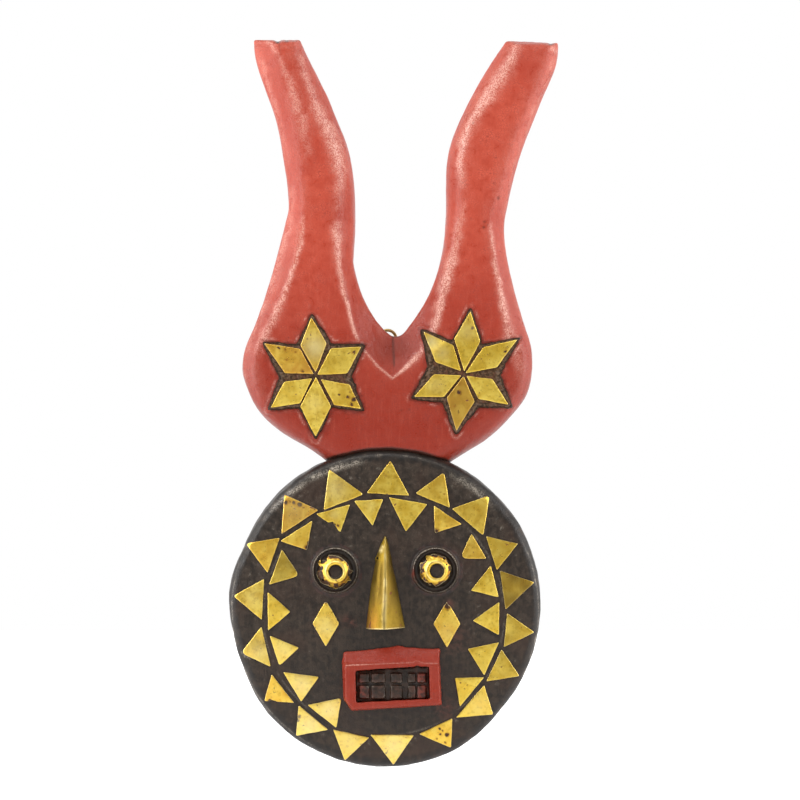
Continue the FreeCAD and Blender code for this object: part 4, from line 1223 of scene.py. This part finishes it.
def headpiece(material):
    """The horns and the block under them, softened, tooled and worn, with painted highlights on
    the ridges and painted shade at the fork and the seam.
    """
    mesh = remeshed([("horn_headpiece", 0), ("star_bed_left", 2.0), ("star_bed_right", 2.0)],
                    1.05)
    sharp, edges = read_mesh(mesh)
    crisp = relaxed(sharp, edges, 4)
    soft = relaxed(crisp, edges, 130)
    x, y, z = sharp.T
    # The ridges are broad and soft up the horns, and crisp round the fork.
    upper = ease(z, 40, 110)
    fork = bell(x - 4, 42) * bell(z + 5, 42)
    shoulder = ease(-z, 20, 60)
    softness = np.clip(0.4 + 0.6 * upper + 0.6 * shoulder - 0.6 * fork, 0, 1)
    front = ease(-y, 12, 20) * ease(HORN_TOP - z, 1, 9)
    points = crisp + (soft - crisp) * (softness * front)[:, None]
    write_mesh(mesh, points)
    normals = read_normals(mesh)
    x, y, z = points.T
    facing = ease(-normals[:, 1], 0.2, 0.6)

    facets = gouges(x / 9.0 + 0.15 * y, z / 21.0, 8)
    seen = ease(-y, 7, 9)
    tool = -0.40 * facets ** 2 * ease(-y, 8, 14)
    scoop = 1.1 * (0.5 - gouges(x / 17.0, z / 10.0, 12) ** 2) - 0.55
    lumps = 0.22 * layered(points, 15, 14, 3) + 0.07 * noise(points, 2.6, 19)
    shift = seen * (tool + lumps) + (1 - seen) * np.minimum(scoop, 0) * ease(
        normals[:, 1], 0.3, 0.9)

    # Arrises and crests stand up, and the red is pushed up in a rough lip round each star.
    rough = np.clip(0.5 + 1.5 * noise(points, 3.0, 21), 0, 2)
    fork_width = 0.9 + 0.9 * ease(x, 6, 14)
    arris = bell(off_line(points, FORK_LINE), fork_width) * (x < 21)
    arris = arris + 0.8 * bell(off_line(points, LEFT_RIDGE), 1.1)
    crest = 0.5 * arris
    stain = rim = np.zeros(len(points))
    for line in TIP_CRESTS:
        crest += 0.55 * bell(off_line(points, line), 1.0) * rough
    for side in ("left", "right"):
        outline = star_outline(side)
        away = off_line(points, [*outline, outline[0]])
        crest += 0.42 * bell(away - 1.8, 1.2) * rough
        crest += 0.34 * noise(points, 1.9, 23) * bell(away, 4.5)
        stain = stain + bell(away - 0.5, 1.3) * ease(noise(points, 5.0, 37), -0.5, 0.4)
        # A painted highlight runs along the crest of the lip round each star.
        rim = rim + bell(away - 2.5, 0.7) * ease(noise(points, 4.5, 38), 0.0, 0.45)
    shift += crest * facing

    # The end of the left horn is split, and one corner of the right one is chipped.
    below = HORN_TOP - z
    notch = bell(x - CRACK_X, 1.9) * ease(-below, -6.0, -3.0)
    line_x = CRACK_X + 0.22 * below
    crack = 0.45 * bell(x - line_x, 0.55) * ease(-below, -13, -4) * facing
    pits = marked(points, [(-70.6, HORN_TOP - 0.6, 1.7, 1.0), (-66.0, HORN_TOP - 0.4, 1.2, 0.6)])
    chip = np.exp(-((x - 114.5) ** 2 / 3 + (below - 2.6) ** 2 / 2))
    nicks = marked(points, NICKS)
    shift -= (1.1 * notch * ease(normals[:, 2], 0.1, 0.6) + 0.55 * crack + 0.5 * pits
              + 0.7 * chip + 0.35 * nicks * facing)
    points = points + normals * shift[:, None]
    crease_x = 4 - 0.02 * (z + 3)
    crease = bell(x - crease_x, 0.55) * ease(z, -27, -22) * ease(-z, 1, 4) * facing

    # Where it is scribed to the disc the front is eased back and painted dark: painted shade for
    # the shadowed edge of the disc.
    above = np.hypot(x - DISC_X, z - DISC_Z) - DISC_R
    seam = ease(4.6 - above + 0.5 * noise(points, 4.0, 27), 0.0, 1.6) * (z < -40)
    points[:, 1] += 0.5 * crease + 1.9 * ease(4.2 - above, 0, 3.5) * facing * (z < -40)
    points[:, 2] = np.minimum(points[:, 2], HORN_TOP)
    write_mesh(mesh, points)
    wander = np.stack([noise(points, 6.0, 35), x * 0, noise(points, 6.0, 36)], 1)
    bloom = rubbed(points + 1.6 * wander, BLOOM) * ease(-normals[:, 1], 0.15, 0.45)
    paint_wear(mesh, 14, 0.62, 0.85 * arris * facing,
               share=(0.2 + 0.3 * bloom) * ease(above, 3, 9))
    gentle = 0.12 * ease(standing_out(points, edges, normals, 90), 0.10, 0.75)
    # The ridges get a painted highlight from the sheen lines, the lip round each star and the
    # gentle crests.
    ridge = seen * np.clip(bloom + 0.5 * rim * facing + gentle * ease(z, -60, -30), 0, 1)
    # Painted shade: darker between the V and the crotch, and on the upward faces by the fork.
    shadow = bell(x - 4, 17) * bell(z + 12, 13) * ease(z + 33 - 0.95 * np.abs(x - 3.5), 0, 3)
    fork_edge = bell(x - 5, 26) * bell(z - 1, 12) * ease(normals[:, 2], 0.55, 0.9)
    # Dark marks: splits, pits, chips, nicks and the crease, with painted shade at the fork and
    # along the seam.
    dark = np.clip(0.8 * notch * ease(normals[:, 2], 0.1, 0.6) + 0.75 * crack + 0.6 * pits
                   + 0.8 * chip + 0.75 * nicks + 0.6 * crease + 0.5 * fork_edge
                   + 0.34 * shadow * facing + 0.45 * stain * facing
                   + 0.93 * seam * ease(-y, 8, 14), 0, 1)
    paint(mesh, ridge=ridge, crack=dark)
    return make_piece("horn_headpiece_painted", mesh, material,
                      ["horn_headpiece"])


# The bevel's lower arris, and the broken edge under the opening, as (x, z)
BEVEL_LINE = [(-28.7, -233.0), (-1.1, -231.9), (17.9, -231.0), (20.4, -229.7), (25.7, -231.6),
              (35.7, -231.8)]
SILL_LINE = [(-21.5, -258.2), (0.0, -257.2), (30.0, -256.4)]


def mouth(material):
    mesh, points, normals = softened("mouth_frame", 0.55, 9)
    lumps = 0.26 * layered(points, 7, 41, 3) + 0.05 * noise(points, 1.6, 44)
    facets = -0.22 * gouges(points[:, 0] / 8.0, points[:, 2] / 6.0, 46) ** 2
    knob = 0.9 * bell(points[:, 0] - 35.5, 2.6) * bell(points[:, 2] + 222.5, 2.2)
    points = points + normals * (lumps + facets + knob)[:, None]
    # The arris was cut lower at the right, and the top edge has a small step in it.
    x, z = points[:, 0], points[:, 2]
    points[:, 2] += (-1.1 - 1.6 * ease(x, -15, 30)) * bell(z + 229.8, 2.8)
    points[:, 2] += (0.4 + 1.1 * ease(x, -15, 30) + 1.6 * bell(x - 20.4, 1.3)) * (
        bell(z + 236.4, 2.0))
    points[:, 2] += 1.1 * bell(x - 7.5, 3.2) * ease(z, -224, -219)
    write_mesh(mesh, points)
    # The bevel's lower arris gets a painted highlight, most at the left, and the paint is rubbed
    # off in places.
    line = bell(off_line(points, BEVEL_LINE), 0.5) * (0.55 + 0.45 * ease(-x, 8, 26))
    broken = ease(noise(points, 4.0, 47), -0.3, 0.4)
    line = line + 0.6 * broken * bell(off_line(points, SILL_LINE), 0.45)
    paint_wear(mesh, 8, 0.42, line * ease(-normals[:, 1], 0.3, 0.7), share=0.25)
    paint(mesh, ridge=0.0, crack=0.0)
    return make_piece("mouth_frame_painted", mesh, material, ["mouth_frame"])


def teeth(material):
    mesh, points, normals = softened("teeth", 0.5, 12)
    points = points + normals * (0.26 * layered(points, 4, 51, 3))[:, None]
    write_mesh(mesh, points)
    paint_wear(mesh, 8, 0.34, share=0.45)
    right = ease(points[:, 0], 17, 24)
    low_left = ease(-points[:, 2], 246, 250) * ease(-points[:, 0], 8, 14)
    raised = ease(-points[:, 1], 50.3, 51.6)
    left = 0.45 * ease(-points[:, 0], 14, 19)
    red = np.clip(0.12 + 0.8 * right + left + 0.3 * low_left, 0, 1) * (0.35 + 0.65 * raised)
    paint(mesh, inside=0.0, red=red)
    return make_piece("teeth_wood", mesh, material, ["teeth"])


# Hanger

def soften_node(node, material, width):
    """Keeps a small CAD part as it is, with its finish and slightly broken edges."""
    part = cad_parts[node]
    part.data.materials.clear()
    part.data.materials.append(material)
    bevel = part.modifiers.new("broken_edges", "BEVEL")
    bevel.width = width * MM
    bevel.segments = 2
    bevel.limit_method = "ANGLE"
    bevel.angle_limit = math.radians(40)


# Stage

def stage():
    """A floor as white as the backdrop to the camera, and merely pale to the mask."""
    floor_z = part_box("face_disc")[0].z - 0.10
    mesh = bpy.data.meshes.new("floor")
    half = 6.0
    corners = ((-half, -half), (half, -half), (half, half), (-half, half))
    mesh.from_pydata([(x, y, floor_z) for x, y in corners], [], [(0, 1, 2, 3)])
    floor = placed("floor", mesh)
    pale = bpy.data.materials.new("pale_floor")
    pale.use_nodes = True
    tree = pale.node_tree
    shader = tree.nodes["Principled BSDF"].inputs
    shader["Base Color"].default_value = (0.85, 0.85, 0.85, 1)
    shader["Roughness"].default_value = 0.7
    shader["Emission Color"].default_value = (1, 1, 1, 1)
    path = tree.nodes.new("ShaderNodeLightPath")
    glow = tree.nodes.new("ShaderNodeMapRange")
    glow.inputs["To Min"].default_value = 0.12
    tree.links.new(path.outputs["Is Camera Ray"], glow.inputs["Value"])
    tree.links.new(glow.outputs["Result"], shader["Emission Strength"])
    mesh.materials.append(pale)


# Name: (place, target, width, height, radiance), in metres
SOFT_BOXES = {
    "key": ((-1.00, -0.55, 0.42), (0, 0, 0.05), 0.28, 1.2, 7.5),
    "fill": ((1.02, -0.55, 0.36), (0, 0, 0.05), 0.26, 1.2, 6.0),
    "top": ((-0.15, -0.70, 1.00), (0, 0, 0.05), 0.7, 0.28, 4.0),
    "left_wall": ((-1.20, 0.10, 0.05), (0, 0, 0), 0.7, 1.2, 2.6),
    "right_wall": ((1.20, 0.10, 0.05), (0, 0, 0), 0.7, 1.2, 2.2),
}


def soft_box(name, place, target, width, height, radiance):
    lamp = bpy.data.lights.new(name, "AREA")
    lamp.shape = "RECTANGLE"
    lamp.size = width
    lamp.size_y = height
    lamp.energy = radiance * math.pi * width * height
    light = placed(name, lamp)
    light.location = place
    light.rotation_euler = (Vector(target) - Vector(place)).to_track_quat("-Z", "Y").to_euler()


def world_light():
    """A white studio that is dimmer on the camera's side; the backdrop itself is white."""
    world = bpy.data.worlds.new("studio")
    bpy.context.scene.world = world
    world.use_nodes = True
    tree = world.node_tree
    tree.nodes.clear()

    def add(kind, **inputs):
        node = tree.nodes.new(kind)
        for key, value in inputs.items():
            node.inputs[key.replace("_", " ")].default_value = value
        return node

    direction = add("ShaderNodeTexCoord")
    split = add("ShaderNodeSeparateXYZ")
    tree.links.new(direction.outputs["Generated"], split.inputs[0])
    shade = add("ShaderNodeMapRange", From_Min=-0.9, From_Max=0.9, To_Min=0.48, To_Max=0.95)
    tree.links.new(split.outputs["Y"], shade.inputs["Value"])
    room = add("ShaderNodeBackground", Color=(1, 1, 1, 1))
    tree.links.new(shade.outputs["Result"], room.inputs["Strength"])
    backdrop = add("ShaderNodeBackground", Color=(1, 1, 1, 1), Strength=1.0)
    path = add("ShaderNodeLightPath")
    mix = add("ShaderNodeMixShader")
    tree.links.new(path.outputs["Is Camera Ray"], mix.inputs["Fac"])
    tree.links.new(room.outputs[0], mix.inputs[1])
    tree.links.new(backdrop.outputs[0], mix.inputs[2])
    output = add("ShaderNodeOutputWorld")
    tree.links.new(mix.outputs[0], output.inputs["Surface"])


def camera():
    """A long lens, straight in front, a little right of the mask's middle."""
    distance, width = 5.0, 0.56
    lens = bpy.data.cameras.new("camera")
    lens.sensor_width = 36.0
    lens.lens = lens.sensor_width * distance / width
    view = placed("camera", lens)
    view.location = (0.0088, HEAD_FRONT_Y * MM - distance, -0.048)
    view.rotation_euler = (math.radians(90), 0, 0)
    bpy.context.scene.camera = view


def main():
    bpy.context.scene.view_settings.view_transform = "Standard"
    red, wood, paste = red_paint(), stained_wood(), mastic()
    plate_brass = brass("brass", PLATE_TONES)
    hanger_brass = brass("hanger_brass", HANGER_TONES)
    steel = nail_steel()

    face_disc(wood)
    for side in ("left", "right"):
        eye_socket(side, wood)
    eye_cap("left", 71, (0.4, -1.0), plate_brass)
    eye_cap("right", 83, (1.1, -0.3), plate_brass)
    brass_plates(plate_brass)
    nose(brass("nose_brass", NOSE_TONES, rough=0.13))
    mouth(red)
    teeth(wood)
    headpiece(red)
    for side, seed in (("left", 91), ("right", 97)):
        star_bed(side, seed, paste)
    for node, metal, width in (("hanger_strap", hanger_brass, 0.12),
                               ("hanging_ring", hanger_brass, 0.0),
                               ("hanger_nails", steel, 0.08)):
        soften_node(node, metal, width)

    stage()
    world_light()
    for name, settings in SOFT_BOXES.items():
        soft_box(name, *settings)
    camera()


main()
